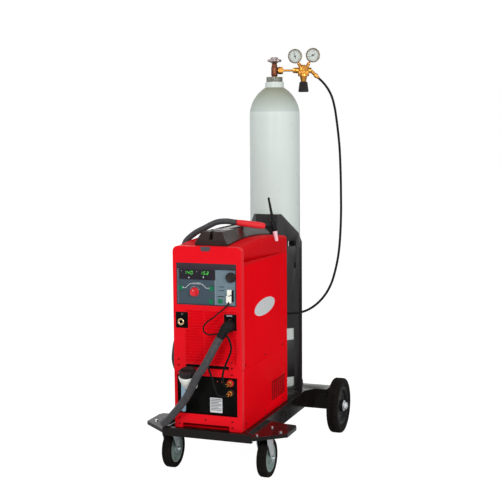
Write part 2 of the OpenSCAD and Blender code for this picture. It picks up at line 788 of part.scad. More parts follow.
module front_bezel() {
    color("#e0141f") difference() {
        front_face(front_y, bezel_d) translate([-half_w, seam_z]) arched(machine_w, bezel_h, bezel_r);
        front_face(front_y + 6, bezel_d) translate([-half_w + bezel_wall, seam_z + bezel_wall])
            arched(machine_w - 2 * bezel_wall, bezel_h - 2 * bezel_wall, bezel_r - bezel_wall);
        block([panel_x0, front_y - 1, panel_z0], [panel_x0 + panel_w, front_y + 10, panel_top]);
        block([louvre_x0, front_y - 1, louvre_z0], [louvre_x1, front_y + 10, louvre_z1]);
        block([earth_x0, front_y - 1, socket_z0], [louvre_x0 + 5, front_y + 10, socket_z0 + socket_h]);
        block([-90, front_y - 1, vent_slot_z - 9], [89, front_y + 10, vent_slot_z + 6]);
        // notch at the top for the latch of the handle
        block([-28, front_y - 1, bezel_top - 19], [17, front_y + 3, bezel_top + 1]);
    }
}

// Slatted air intake that frames both socket plates
module louvre_panel() {
    w = louvre_x1 - louvre_x0 - 2 * gap;
    h = louvre_z1 - louvre_z0 - 2 * gap;
    x = louvre_x0 + gap;
    z = louvre_z0 + gap;
    count = floor((h - 6) / louvre_pitch);
    color("#d9141f") difference() {
        union() {
            front_face(front_y + 0.5, 5.5) difference() {
                translate([x, z]) square([w, h]);
                translate([x + 4, z + 3]) square([w - 8, h - 6]);
            }
            // blades that lean down and forward
            for (i = [0 : count - 1]) translate([0, front_y + 1, z + 5 + louvre_pitch * i])
                side_face(x + 2, w - 4)
                    polygon([[0, 0], [1.5, -1.5], [9, louvre_rib - 0.5], [7.5, louvre_rib + 1]]);
            // flat ribs round the socket plates
            front_face(front_y + 1, 5) for (a = [earth_x0, torch_x0]) intersection() {
                translate([a - 4, socket_z0 - 4]) square([socket_w + 8, socket_h + 8]);
                translate([x, z]) square([w, h]);
            }
            // pad of the lower right screw
            block([screw_x - 8, front_y, screw_z - 9], [screw_x + 8, front_y + 7, screw_z + 8]);
            // middle stiffener behind the blades
            block([-17, front_y + 3, z], [-13, front_y + 9, z + h]);
        }
        for (a = [earth_x0, torch_x0])
            block([a, front_y - 1, socket_z0], [a + socket_w, front_y + 12, socket_z0 + socket_h]);
    }
}

// Side panel with a folded front edge and a foot flange
module side_cover() {
    color("#d5121d") {
        block([side_x - sheet_t, bezel_back + gap, seam_z + gap], [side_x, rear_y, fold_z]);
        block([side_x - 12, bezel_back + gap, seam_z + gap], [side_x, bezel_back + gap + sheet_t, fold_z]);
        block([side_x - 14, bezel_back + gap, seam_z + gap], [side_x, rear_y - 10, seam_z + gap + sheet_t]);
        block([side_x - 12, bezel_back + gap, fold_z - sheet_t], [side_x, rear_y - 10, fold_z]);
    }
}

// Cover's body: an arch in side view, round-shouldered in front view
module cover_solid(inset) {
    y0 = bezel_back + gap + inset;
    y1 = rear_y - inset;
    w = side_x - inset;
    top = arch_z() + arch_r();
    flat = handle_foot_w / 2 + 7;
    intersection() {
        side_face(-w, 2 * w) intersection() {
            translate([y0, cover_z - (inset > 0 ? 1 : 0)]) square([y1 - y0, 200]);
            translate([arch_y(), arch_z()]) circle(arch_r() - inset, $fn = 256);
        }
        // flat under the handle, with a shoulder that falls to either side
        front_face(y0, y1 - y0) polygon([
            [-w, cover_z - 5], [w, cover_z - 5], [w, eaves_z - inset], [w - 3, eaves_z + 4 - inset],
            [flat, top - inset], [-flat, top - inset], [3 - w, eaves_z + 4 - inset],
            [-w, eaves_z - inset]
        ]);
    }
}

// Triangular pocket in the cover's right side, deepest at its front lower corner, grown by g
module side_pocket(g) {
    y0 = bezel_back - 1;
    x = side_x + 2;
    polyhedron(
        [[x, y0, cover_z + 60 + g], [x, y0, pocket_z - g], [side_x - pocket_d - g, y0, pocket_z - g],
         [x, y0 + pocket_l + 30 * g, cover_z + 3 + g / 2]],
        [[0, 1, 2], [0, 3, 1], [1, 3, 2], [0, 2, 3]]);
}

module top_cover() {
    color("#da1420") difference() {
        cover_solid(0);
        both_sides() side_pocket(0);
        difference() {
            cover_solid(2.5);
            both_sides() side_pocket(2.5);
        }
    }
}

// Radius and centre height of the cover's arch
function arch_span() = rear_y - bezel_back - gap;
function arch_r() = (arch_span() * arch_span() / 4 + roof_rise * roof_rise) / (2 * roof_rise);
function arch_y() = (bezel_back + gap + rear_y) / 2;
function arch_z() = bezel_top - 3 + roof_rise - arch_r();

module carry_handle() {
    y0 = front_y + 46;
    y1 = y0 + handle_l;
    z1 = bezel_top - 4 + handle_h;
    foot = handle_foot_w / 2;
    top = handle_top_w / 2;
    well_y = y0 + 144;
    color("#1f1c1b") difference() {
        union() {
            front_face(y0, handle_l) polygon([
                [4 - foot, bezel_top - 12], [foot - 4, bezel_top - 12], [foot - 5, bezel_top + 8],
                [top, z1 - 6], [top - 4, z1], [4 - top, z1], [-top, z1 - 6], [5 - foot, bezel_top + 8]
            ]);
            // foot flange that follows the arch of the cover
            side_face(-foot, 2 * foot) intersection() {
                translate([y0 + 10, bezel_top - 12]) square([handle_l - 16, 60]);
                translate([arch_y(), arch_z()]) circle(arch_r() + 6, $fn = 256);
            }
        }
        side_face(-foot - 1, 2 * foot + 2) {
            translate([arch_y(), arch_z()]) circle(arch_r() + gap, $fn = 256);
            // sloped nose and tail
            polygon([[y0 - 1, z1 + 1], [y0 - 1, z1 - 34], [y0 + 14, z1 + 1]]);
            polygon([[y1 + 1, z1 + 1], [y1 + 1, z1 - 42], [y1 - 50, z1 + 1]]);
        }
        // hook slot in the nose
        block([-8, y0 - 1, z1 - 31], [8, y0 + 40, z1 + 1]);
        // finger wells on both sides of the grip
        both_sides() translate([16, well_y, z1 - 35]) linear_extrude(handle_h) rounded(grip_w, grip_l, 11);
    }
    // latch tongue in the notch of the bezel
    color("#3b3d42") front_face(front_y + 0.5, 2.5) polygon([
        [-28 + gap, bezel_top - 1], [-22, bezel_top - 18], [11, bezel_top - 18], [17 - gap, bezel_top - 1]
    ]);
}

module rear_panel() {
    w = side_x - sheet_t - gap;
    y = rear_y - 14;
    color("#232426") difference() {
        union() {
            front_face(y, 2.5) translate([-w, seam_z + 3]) square([2 * w, fold_z - seam_z - 6]);
            // guard ring of the fan
            along_y(0, y - 8, seam_z + 285, 92, 9);
            // mains inlet gland
            along_y(-95, y + 1, seam_z + 60, 15, 24);
            translate([-95, y + 2, seam_z + 60]) rotate([-90, 0, 0]) hex_head(19, 8);
            // gas inlet
            along_y(120, y + 1, seam_z + 133, 7, 15);
            translate([120, y + 2, seam_z + 133]) rotate([-90, 0, 0]) hex_head(11, 6);
            // frame of the mains switch
            block([switch_pos[0] - 24, y - 5, switch_pos[1] - 19],
                  [switch_pos[0] + 24, y + 4, switch_pos[1] + 19]);
        }
        along_y(0, y - 10, seam_z + 285, 86, 9);
        for (r = [22 : 16 : 86]) difference() {
            along_y(0, y - 2, seam_z + 285, r, 9);
            along_y(0, y - 3, seam_z + 285, r - 9, 11);
            for (a = [0, 90]) translate([0, y, seam_z + 285]) rotate([0, a, 0])
                cube([7, 30, 200], center = true);
        }
        block([switch_pos[0] - 17 - gap, y - 6, switch_pos[1] - 14.5],
              [switch_pos[0] + 17 + gap, y + 10, switch_pos[1] + 14.5]);
        along_x(switch_pos[0] - 19.2, y + 1, switch_pos[1], 2 + run, 38.4);
        along_y(-95, y - 1, seam_z + 60, 8, 40);
    }
}

module control_panel() {
    g = gap;
    x0 = panel_x0 + g;
    x1 = panel_x0 + panel_w - g;
    z0 = panel_z0 + g;
    z1 = panel_top - g;
    color("#2c3037") difference() {
        union() {
            block([x0, panel_face_y, z0], [x1, panel_face_y + 4, z1]);
            // dark rim and header strip
            front_face(front_y + 0.5, 3) difference() {
                translate([x0, z0]) rounded(x1 - x0, z1 - z0, 3);
                translate([x0 + 4, z0 + 4]) square([x1 - x0 - 8, z1 - z0 - 28]);
            }
            // display window
            front_face(panel_face_y - 1.2, 2) translate([-118, seam_z + 353]) rounded(153, 42, 3);
            // collar of the remote socket
            along_y(remote_pos[0], front_y + 0.2, remote_pos[1], remote_d / 2 - 3, 5);
        }
        for (p = buttons)
            block([p[0] - button_w / 2 - gap, front_y, p[1] - button_w / 2 - gap],
                  [p[0] + button_w / 2 + gap, front_y + 10, p[1] + button_w / 2 + gap]);
        along_y(knob_pos[0], front_y, knob_pos[1], 3 + run, 12);
    }
}

module main_knob() {
    r = knob_d / 2;
    color("#d8202b") translate([knob_pos[0], panel_face_y, knob_pos[1]]) rotate([90, 0, 0]) difference() {
        union() {
            translate([0, 0, gap]) cylinder(r = r + 4, h = 4);
            translate([0, 0, 4]) cylinder(r1 = r, r2 = r - 1.5, h = 15);
            translate([0, 0, -6]) cylinder(r = 3, h = 8);
        }
        // pointer groove and grip flutes
        translate([-1, r - 8, 18]) cube([2, 7, 3]);
        for (a = [0 : 24 : 359]) rotate([0, 0, a]) translate([r + 0.7, 0, 6])
            cylinder(r = 1.6, h = 14, $fn = 16);
    }
}

module button(p) {
    color("#12965c") {
        front_face(front_y - 0.5, 5) translate([p[0] - button_w / 2, p[1] - button_w / 2])
            rounded(button_w, button_w, 2);
        block([p[0] - 3, front_y + 4, p[1] - 3], [p[0] + 3, panel_face_y + 4, p[1] + 3]);
    }
}

module remote_socket_cap() {
    r = remote_d / 2;
    seat_y = front_y + 0.2 - gap;
    color("#191919") translate([remote_pos[0], seat_y, remote_pos[1]]) rotate([90, 0, 0]) difference() {
        union() {
            cylinder(r = r, h = 11);
            translate([0, 0, 11]) cylinder(r1 = r, r2 = r - 3, h = 3);
        }
        for (a = [0 : 20 : 359]) rotate([0, 0, a]) translate([r + 1, 0, -1])
            cylinder(r = 2.4, h = 20, $fn = 16);
    }
}

module output_sockets() {
    g = gap;
    // earth socket
    color("#141415") difference() {
        front_face(front_y - 1, 6) translate([earth_x0 + g, socket_z0 + g])
            rounded(socket_w - 2 * g, socket_h - 2 * g, 3);
        along_y(earth_pos[0], front_y - 3, earth_pos[1], 14, 12);
    }
    color("#d7ac5a") difference() {
        along_y(earth_pos[0], front_y - 0.5, earth_pos[1], 14, 40);
        along_y(earth_pos[0], front_y - 3, earth_pos[1], 7, 30);
    }
    color("#8f969c") along_y(-106, front_y - 5, socket_z0 + 56, 4.5, 5);
    // torch socket
    color("#141415") difference() {
        front_face(front_y - 1, 6) translate([torch_x0 + g, socket_z0 + g])
            rounded(socket_w - 2 * g, socket_h - 2 * g, 3);
        along_y(torch_pos[0], front_y - 3, torch_pos[1], 15, 12);
    }
    color("#b98f3e") along_y(torch_pos[0], front_y - 0.5, torch_pos[1], 15, 40);
}

module mains_switch() {
    x = switch_pos[0];
    z = switch_pos[1];
    y = rear_y - 13;
    // rocker that tips about a pin across it
    color("#0f0f10") {
        side_face(x - 17, 34) polygon([
            [y - 4, z - 9], [y + 4, z - 13], [y + 7.5, z - 12.5], [y + 4.5, z], [y + 7.5, z + 12.5],
            [y + 4, z + 13], [y - 4, z + 9]
        ]);
        along_x(x - 19, y, z, 2, 38);
    }
}

module inverter_module() {
    base = seam_z + 3;
    color("#8d9398") {
        block([-128, front_y + 45, seam_z + gap], [128, rear_y - 30, base]);
        // finned heat sink
        difference() {
            block([-60, front_y + 150, base], [60, front_y + 400, base + 150]);
            for (i = [0 : 11])
                block([-54 + 9.4 * i, front_y + 149, base + 18], [-49 + 9.4 * i, front_y + 401, base + 151]);
        }
    }
    // transformer and choke
    color("#7a4a24") block([72, front_y + 200, base], [122, front_y + 330, base + 90]);
    // capacitors
    color("#2b4c7a") for (i = [0 : 2]) translate([-95, front_y + 180 + 70 * i, base])
        cylinder(r = 25, h = 90);
    // fan motor on its post
    color("#303235") {
        block([-20, rear_y - 76, base], [20, rear_y - 70, seam_z + 285]);
        along_y(0, rear_y - 84, seam_z + 285, 28, 20);
        along_y(0, rear_y - 66, seam_z + 285, 4, 26);
    }
}

// Axial fan with swept blades
module cooling_fan() {
    hub = 26;
    tip = 80;
    color("#2e2f31") translate([0, rear_y - 62, seam_z + 285]) rotate([-90, 0, 0]) difference() {
        union() {
            cylinder(r = hub, h = 20);
            for (a = [0 : 360 / 7 : 359]) rotate([0, 0, a]) translate([hub - 3, 0, 10]) rotate([38, 0, 0])
                translate([0, -15, -1]) linear_extrude(2)
                    polygon([[0, 2], [0, 28], [tip - hub, 33], [tip - hub + 2, 16], [tip - hub - 6, -2]]);
        }
        translate([0, 0, -1]) cylinder(r = 4 + run, h = 30);
    }
}

// ---------------------------------------------------------------- gas cylinder

module gas_cylinder() {
    foot_r = 14;
    inner = cyl_r - cyl_wall;
    color("#c9d3ca") translate([0, cyl_y, 0]) rotate_extrude($fn = 128) polygon(concat(
        [[valve_d / 2 - 1, collar_z - 18], [valve_d / 2 - 1, collar_z + collar_h],
         [collar_d / 2 - 2, collar_z + collar_h], [collar_d / 2, collar_z + collar_h - 2],
         [collar_d / 2, collar_z]],
        arc(arc_r0, shoulder_z, shoulder_r, 45, 0, 10),
        arc(cyl_r - foot_r, cyl_z + foot_r, foot_r, 0, -70, 6),
        [[cyl_r - 22, cyl_z], [cyl_r - 34, cyl_z + 10], [0, cyl_z + 34], [0, cyl_z + 34 + cyl_wall],
         [inner - 24, cyl_z + 22], [inner, cyl_z + 34]],
        arc(arc_r0, shoulder_z, shoulder_r - cyl_wall, 0, 45, 10),
        [[valve_d / 2 + 12, collar_z - 18]]
    ));
}

// Turned body with the ribbed guard ring that sits on the collar
module cylinder_valve() {
    r = valve_d / 2;
    g = guard_d / 2;
    color("#8a5a36") translate([0, cyl_y, 0]) difference() {
        union() {
            rotate_extrude($fn = 64) polygon([
                [0, collar_z - 16], [r - 1 - run, collar_z - 16], [r - 1 - run, guard_z], [g, guard_z],
                [g, guard_z + guard_h], [g - 6, guard_z + guard_h], [g - 6, guard_z + 6],
                [r - 3, guard_z + 6], [r - 3, guard_z + 27], [r, guard_z + 30], [r, guard_z + 66],
                [r - 2, guard_z + 68], [r - 2, guard_z + 74], [r - 4, valve_top], [6, valve_top],
                [6, valve_top + 8], [0, valve_top + 8]
            ]);
            rotate([0, 0, reg_yaw]) along_x(0, 0, outlet_z, 10, 26);
        }
        for (a = [0 : 20 : 359]) rotate([0, 0, a]) translate([g + 2, 0, guard_z + 3])
            cylinder(r = 3.5, h = 30, $fn = 16);
    }
}

module valve_handwheel() {
    r = handwheel_d / 2;
    color("#8e9294") translate([0, cyl_y, valve_top + gap]) difference() {
        union() {
            cylinder(r1 = 13, r2 = 20, h = 6);
            translate([0, 0, 5]) cylinder(r = r - 5, h = 12);
            for (a = [0 : 45 : 359]) rotate([0, 0, a]) translate([r - 7, 0, 4])
                cylinder(r = 7, h = 14, $fn = 32);
            translate([0, 0, 16]) cylinder(r1 = 20, r2 = 15, h = handwheel_h - 16);
        }
        translate([0, 0, -1]) cylinder(r = 6 + run, h = 9);
    }
}

// ---------------------------------------------------------------- regulator

// Frame on the valve's axis, with +X along the regulator
module at_regulator() { translate([0, cyl_y, 0]) rotate([0, 0, reg_yaw]) children(); }

module regulator_body() {
    color("#d19a3a") at_regulator() {
        // union nut and inlet stem
        difference() {
            translate([valve_d / 2 + gap, 0, outlet_z]) rotate([0, 90, 0]) {
                translate([0, 0, 2]) hex_head(17, 19);
                cylinder(r = 14, h = 24);
            }
            along_x(0, 0, outlet_z, 10 + run, 26.05);
        }
        along_x(35, 0, outlet_z, 5, 60);
        translate([84, 0, outlet_z]) rotate([0, 90, 0]) hex_head(12, 12);
        // forged body
        along_x(94, 0, outlet_z, 13, 74);
        translate([reg_u, 0, outlet_z - 4]) cylinder(r = bonnet_d / 2 - 3, h = 20);
        along_y(reg_u, -20, outlet_z + 4, 15, 40);
        translate([reg_u, 0, outlet_z + 15]) cylinder(r = 9, h = 10);
        // gauge ports
        for (i = [0, 1]) toward([gauge_foot[i], 0, port_z], [gauge_u[i], 0, gauge_z[i]])
            cylinder(r = 8, h = port_l);
        // knurled bonnet and neck
        translate([reg_u, 0, bonnet_top - bonnet_h]) cylinder(r = bonnet_d / 2, h = bonnet_h);
        translate([reg_u, 0, bonnet_top - bonnet_h - neck_h]) cylinder(r1 = 12, r2 = 17, h = neck_h + 1);
        // outlet elbow and hose nut
        toward([reg_u + 34, 0, outlet_z - 2], [199, 0, outlet_z - 33]) {
            cylinder(r = 8, h = 30);
            translate([0, 0, 26]) hex_head(10.5, 12);
            translate([0, 0, 36]) cylinder(r = 7, h = 12);
        }
    }
}

module regulator_knob() {
    r = reg_knob_d / 2;
    z = bonnet_top - bonnet_h - neck_h - gap;
    color("#161616") at_regulator() translate([reg_u, 0, z - reg_knob_h]) difference() {
        rotate_extrude($fn = 64) polygon([
            [0, 0], [r - 3, 0], [r, 3], [r, 8], [r - 5, reg_knob_h - 3], [r - 8, reg_knob_h], [0, reg_knob_h]
        ]);
        for (a = [0 : 22.5 : 359]) rotate([0, 0, a]) translate([r + 1.2, 0, -1])
            cylinder(r = 2.6, h = 30, $fn = 16);
    }
}

// Gauge frame: +Z looks out of the dial, 0 at the case's back
module at_gauge(i) {
    at_regulator() translate([gauge_u[i], 8, gauge_z[i]]) rotate([90, 0, 0]) children();
}

// Each gauge: a case with a sunk dial, turned in one piece, and a stem down to its port
module gauges() {
    r = gauge_d / 2;
    t = gauge_t;
    color("#c9b26a") for (i = [0, 1]) {
        at_gauge(i) rotate_extrude($fn = 64) polygon([
            [0, 0], [r - 2, 0], [r - 2, t - 7], [r, t - 7], [r, t - 1], [r - 1, t], [r - 3, t], [r - 4, 16],
            [1.5, 16], [1.5, 20], [0, 20]
        ]);
        at_regulator() gauge_stem([gauge_foot[i], 0, port_z], [gauge_u[i], 0, gauge_z[i]]);
    }
}

// Stem with a hexagon, from the port at a up into the case centred on b
module gauge_stem(a, b) {
    toward(a, b) translate([0, 0, port_l + gap]) {
        cylinder(r = 4.5, h = norm(b - a) - gauge_d / 2 - port_l + 6);
        hex_head(7.5, 5);
    }
}

// Needle with its hub, at angle a from the top of the dial
module needle(i, a) {
    long = gauge_d / 2 - 10;
    color("#111111") at_gauge(i) translate([0, 0, 16 + gap]) rotate([0, 0, a]) difference() {
        union() {
            cylinder(r = 4, h = 2.2);
            linear_extrude(1.2) polygon([[-1.6, -12], [1.6, -12], [0.6, long], [-0.6, long]]);
        }
        translate([0, 0, -1]) cylinder(r = 1.5 + run, h = 5, $fn = 24);
    }
}

// ---------------------------------------------------------------- torch

module torch_handle() {
    r = grip_d / 2;
    l = norm(grip_b - grip_a);
    color("#d5202a") toward(grip_a, grip_b) difference() {
        rotate_extrude($fn = 48) polygon([
            [0, 0], [r - 2.5, 0], [r - 1, 4], [r - 1, 20], [r, 40], [r, l - 30], [r - 2, l - 4],
            [r - 4, l], [0, l]
        ]);
        translate([-4.2 - gap, r - 7.5, l - 74]) cube([8.4 + 2 * gap, 12, 38]);
    }
}

module torch_trigger() {
    r = grip_d / 2;
    l = norm(grip_b - grip_a);
    color("#161616") toward(grip_a, grip_b) translate([-4.2, r - 4.5, l - 73.7]) cube([8.4, 6, 37.4]);
}

// Head turned about its own axis: bored cup, body and long back cap
module torch_head() {
    l = norm(grip_b - grip_a);
    color("#151515") {
        toward(grip_a, grip_b) translate([0, 0, l + 0.1]) cylinder(r = 9.5, h = 9);
        toward(grip_b, neck_end) translate([0, 0, 5]) cylinder(r = 8, h = norm(neck_end - grip_b) - 7);
    }
    toward(cup_tip, neck_end) color("#1a1a1a") rotate_extrude($fn = 48) polygon([
        [4.8, 0], [6.5, 0], [10, 44], [13, 44.5], [13, 88], [8, 89], [8, 97], [6, 98], [4.5, 187],
        [0, 187], [0, 20], [4.8, 20]
    ]);
}

// ---------------------------------------------------------------- hoses and cables

module torch_hose() { color("#3a3a3c") tube(pack_route, pack_d / 2, pack_end_d / 2, 12, [0, 1, 0]); }
module gas_hose() { color("#262626") tube(gas_route, gas_hose_d / 2, gas_hose_d / 2, 10, [0, 1, 0]); }
module control_cable() { color("#1a1a1a") tube(cable_route, cable_d / 2, cable_d / 2, 8, [0, 1, 0]); }
module coolant_hose(route) { color("#1a1a1a") tube(route, water_hose_d / 2, water_hose_d / 2, 8, [0, 1, 0]); }

// Plug of the control cable in the panel
module control_plug() {
    y = panel_face_y - 16;
    color("#e9e9df") front_face(y, 16) translate([plug_pos[0] - 13, plug_pos[1] - 26]) rounded(26, 52, 3);
    foot = [plug_pos[0] - 2, y + 4, plug_pos[1] - 22];
    color("#222222") toward(foot, cable_route[0]) cylinder(r = 4.5, h = norm(cable_route[0] - foot) - 0.1);
}

// Elbow connector and tapered strain relief of the hose pack
module torch_boot() {
    corner = [torch_pos[0], front_y - 36, torch_pos[1] - 6];
    mouth = pack_route[0];
    color("#161617") {
        along_y(torch_pos[0], front_y - 36, torch_pos[1] - 6, 20, 34.7);
        translate(corner) sphere(r = 22, $fn = 48);
        toward(corner, mouth) cylinder(r1 = 21.5, r2 = pack_d / 2 + 1, h = norm(mouth - corner) - 0.1);
    }
}

chassis_frame();
front_plate();
rear_axle();
cylinder_upright();
cylinder_strap();
fasteners();
caster_plates();
translate([-caster_x, swivel_y, 0]) caster_fork();  // caster_fork_left
translate([caster_x, swivel_y, 0]) caster_fork();  // caster_fork_right
translate([-caster_x, swivel_y, 0]) caster_rim();  // caster_rim_left
translate([caster_x, swivel_y, 0]) caster_rim();  // caster_rim_right
translate([-caster_x, swivel_y, 0]) caster_tyre();  // caster_tyre_left
translate([caster_x, swivel_y, 0]) caster_tyre();  // caster_tyre_right
rear_rim(-1);  // rear_rim_left
rear_rim(1);  // rear_rim_right
rear_tyre(-1);  // rear_tyre_left
rear_tyre(1);  // rear_tyre_right
cooler_case();
cooler_front();
recess_panel();
coolant_tank();
tank_cap();
coolant_couplings();
cooler_core();
front_bezel();
louvre_panel();
mirror([1, 0, 0]) side_cover();  // side_cover_left
side_cover();  // side_cover_right
top_cover();
carry_handle();
rear_panel();
control_panel();
main_knob();
button(buttons[0]);  // button_left
button(buttons[1]);  // button_right
button(buttons[2]);  // button_lower
button(buttons[3]);  // button_test
remote_socket_cap();
output_sockets();
mains_switch();
inverter_module();
cooling_fan();
gas_cylinder();
cylinder_valve();
valve_handwheel();
regulator_body();
regulator_knob();
gauges();
needle(0, 14);  // needle_cylinder
needle(1, 112);  // needle_flow
torch_handle();
torch_trigger();
torch_head();
gas_hose();
torch_hose();
control_cable();
coolant_hose(flow_route);  // coolant_hose_flow
coolant_hose(return_route);  // coolant_hose_return
control_plug();
torch_boot();
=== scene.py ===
"""Dresses the water-cooled TIG welding set on its cylinder cart.

Each sub-assembly is a class that builds its surfaces and gives them their finish. All lengths are in
metres, in the frame of the solids: +Z up, the control panel looks to -Y, the origin on the floor.
"""

import json
import logging
import math
from dataclasses import dataclass
from enum import Enum
from typing import Callable, Sequence

import bmesh
import bpy
import numpy as np
from mathutils import Matrix, Vector


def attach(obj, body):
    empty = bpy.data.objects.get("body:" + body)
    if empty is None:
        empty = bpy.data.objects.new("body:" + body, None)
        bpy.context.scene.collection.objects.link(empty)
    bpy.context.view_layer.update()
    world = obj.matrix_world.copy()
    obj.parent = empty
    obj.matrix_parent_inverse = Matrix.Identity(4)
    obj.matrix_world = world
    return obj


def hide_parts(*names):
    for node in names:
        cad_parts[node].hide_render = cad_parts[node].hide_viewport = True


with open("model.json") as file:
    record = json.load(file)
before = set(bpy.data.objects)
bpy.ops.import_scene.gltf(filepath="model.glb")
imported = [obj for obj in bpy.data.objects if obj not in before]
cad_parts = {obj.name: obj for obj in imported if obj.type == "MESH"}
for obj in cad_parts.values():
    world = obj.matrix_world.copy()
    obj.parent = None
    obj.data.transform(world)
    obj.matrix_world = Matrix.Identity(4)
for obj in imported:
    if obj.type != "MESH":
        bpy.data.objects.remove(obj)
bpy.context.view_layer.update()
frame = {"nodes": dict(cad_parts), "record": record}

log = logging.getLogger("welding_set")
Array = np.ndarray
Colour = tuple[float, float, float]
Profile = list[tuple[float, float]]
Place = tuple[float, float, float]
Object = bpy.types.Object
Chooser = Callable[[Array, Array], Array]
Socket = bpy.types.NodeSocket
BODY_OF = {node: body for body, nodes in frame["record"]["behaviour"]["bodies"].items() for node in nodes}
CASE_FRONT, CASE_REAR, CASE_SIDE = -0.445, 0.115, 0.144
PANEL_FACE, RECESS_FACE = -0.442, -0.437


def shade(red: float, green: float, blue: float) -> Colour:
    """Turns display values from 0 to 255 into the linear colour that a shader takes."""
    values = np.array([red, green, blue], float) / 255.0
    low, high = values / 12.92, ((values + 0.055) / 1.055) ** 2.4
    return tuple(float(v) for v in np.where(values <= 0.04045, low, high))


def toned(colour: Colour, times: float, plus: float = 0.0) -> Colour:
    """Gives a colour multiplied and raised, held at 1."""
    return tuple(min(1.0, c * times + plus) for c in colour)


# ---------------------------------------------------------------- finishes


class Space(Enum):
    """What a pattern follows: the object's own space or the surface's own map."""

    OBJECT = "Object"
    SURFACE = "UV"


class Recipe:
    """One material's node tree, put together round a Principled shader."""

    def __init__(self, name: str) -> None:
        """Makes the material.

        Args:
            name: The material's name.
        """
        self.material = bpy.data.materials.new(name)
        self.material.use_nodes = True
        self.tree = self.material.node_tree
        self.tree.nodes.clear()
        self.output = self.node("OutputMaterial")
        self.shader = self.node("BsdfPrincipled")
        self.join(self.shader.outputs["BSDF"], self.output.inputs["Surface"])
        self.coords = self.node("TexCoord")

    def join(self, source: Socket, target: Socket) -> None:
        """Links one socket to another."""
        self.tree.links.new(source, target)

    def fill(self, node: bpy.types.Node, values: dict[str, object]) -> bpy.types.Node:
        """Links sockets and sets constants on a node's inputs, underscores standing for spaces."""
        for name, value in values.items():
            socket = node.inputs[name.replace("_", " ")]
            if isinstance(value, Socket):
                self.join(value, socket)
            else:
                socket.default_value = value
        return node

    def node(self, kind: str, **values: object) -> bpy.types.Node:
        """Adds a node and fills its inputs."""
        return self.fill(self.tree.nodes.new(f"ShaderNode{kind}"), values)

    def set(self, **values: object) -> "Recipe":
        """Fills the shader's own inputs."""
        self.fill(self.shader, values)
        return self

    def place(
        self,
        scale: Place = (1.0, 1.0, 1.0),
        space: Space = Space.OBJECT,
        shift: Place = (0.0, 0.0, 0.0),
    ) -> Socket:
        """Gives coordinates for a pattern.

        Args:
            scale: Stretch of the pattern along each axis.
            space: What the pattern follows.
            shift: Shift of the pattern.

        Returns:
            The vector socket.
        """
        room = self.coords.outputs[space.value]
        return self.node("Mapping", Vector=room, Scale=scale, Location=shift).outputs["Vector"]

    def noise(
        self, vector: Socket, scale: float, detail: float = 2.0, rough: float = 0.5
    ) -> Socket:
        """Gives a cloudy value from 0 to 1.

        Args:
            vector: Coordinates of the pattern.
            scale: Clouds to a metre.
            detail: Octaves of finer clouds.
            rough: Share that each finer octave keeps.

        Returns:
            The value socket.
        """
        return self.node("TexNoise", Vector=vector, Scale=scale, Detail=detail, Roughness=rough).outputs[0]

    def bands(
        self, vector: Socket, scale: float, axis: str = "X", warp: float = 0.0
    ) -> Socket:
        """Gives stripes from 0 to 1 across one axis.

        Args:
            vector: Coordinates of the pattern.
            scale: How close the stripes are.
            axis: The axis that the stripes cross.
            warp: How much they wander.

        Returns:
            The value socket.
        """
        node = self.node("TexWave", Vector=vector, Scale=scale, Distortion=warp)
        node.bands_direction = axis
        return node.outputs["Fac"]

    def span(
        self, value: Socket, low: float, high: float, start: float = 0.0, end: float = 1.0
    ) -> Socket:
        """Maps the stretch from low to high onto start to end, held at both ends."""
        node = self.node("MapRange", Value=value, From_Min=low, From_Max=high, To_Min=start, To_Max=end)
        return node.outputs["Result"]

    def sum(self, first: Socket, second: Socket, kind: str = "ADD") -> Socket:
        """Joins two values with a sum, a product or another operation of the Math node."""
        node = self.node("Math")
        node.operation = kind
        self.join(first, node.inputs[0])
        self.join(second, node.inputs[1])
        return node.outputs[0]

    def mix(
        self,
        factor: Socket,
        first: Colour | Socket,
        second: Colour | Socket,
    ) -> Socket:
        """Blends two colours.

        Args:
            factor: 0 gives the first, 1 the second.
            first: A colour or a colour socket.
            second: A colour or a colour socket.

        Returns:
            The colour socket.
        """
        node = self.node("Mix")
        node.data_type = "RGBA"
        self.join(factor, node.inputs[0])
        for colour, socket in ((first, node.inputs[6]), (second, node.inputs[7])):
            if isinstance(colour, tuple):
                socket.default_value = (*colour, 1.0)
            else:
                self.join(colour, socket)
        return node.outputs[2]

    def relief(self, height: Socket, depth: float, strength: float = 1.0) -> None:
        """Adds a bump of that depth, in metres, on top of the bumps already there."""
        node = self.node("Bump", Height=height, Distance=depth, Strength=strength)
        links = self.shader.inputs["Normal"].links
        if links:
            self.join(links[0].from_socket, node.inputs["Normal"])
        self.join(node.outputs["Normal"], self.shader.inputs["Normal"])

    def edges(self, radius: float) -> Socket:
        """Gives 1 within about that radius of a sharp edge and 0 elsewhere, by how far a rounded normal leans."""
        true = self.node("NewGeometry")
        round_off = self.node("Bevel", Radius=radius)
        round_off.samples = 4
        meet = self.node("VectorMath")
        meet.operation = "DOT_PRODUCT"
        self.join(true.outputs["Normal"], meet.inputs[0])
        self.join(round_off.outputs["Normal"], meet.inputs[1])
        return self.span(meet.outputs["Value"], 0.985, 0.80)


READY: dict[str, bpy.types.Material] = {}


@dataclass(frozen=True)
class Finish:
    """A finish, made into a material the first time that it is asked for."""

    name: str
    colour: Colour
    roughness: float = 0.4

    def material(self) -> bpy.types.Material:
        """Gives the finish's material."""
        if self.name not in READY:
            READY[self.name] = self.recipe(Recipe(f"{self.name}_finish")).material
        return READY[self.name]

    def recipe(self, book: Recipe) -> Recipe:
        """Fills the material's node tree."""
        raise NotImplementedError


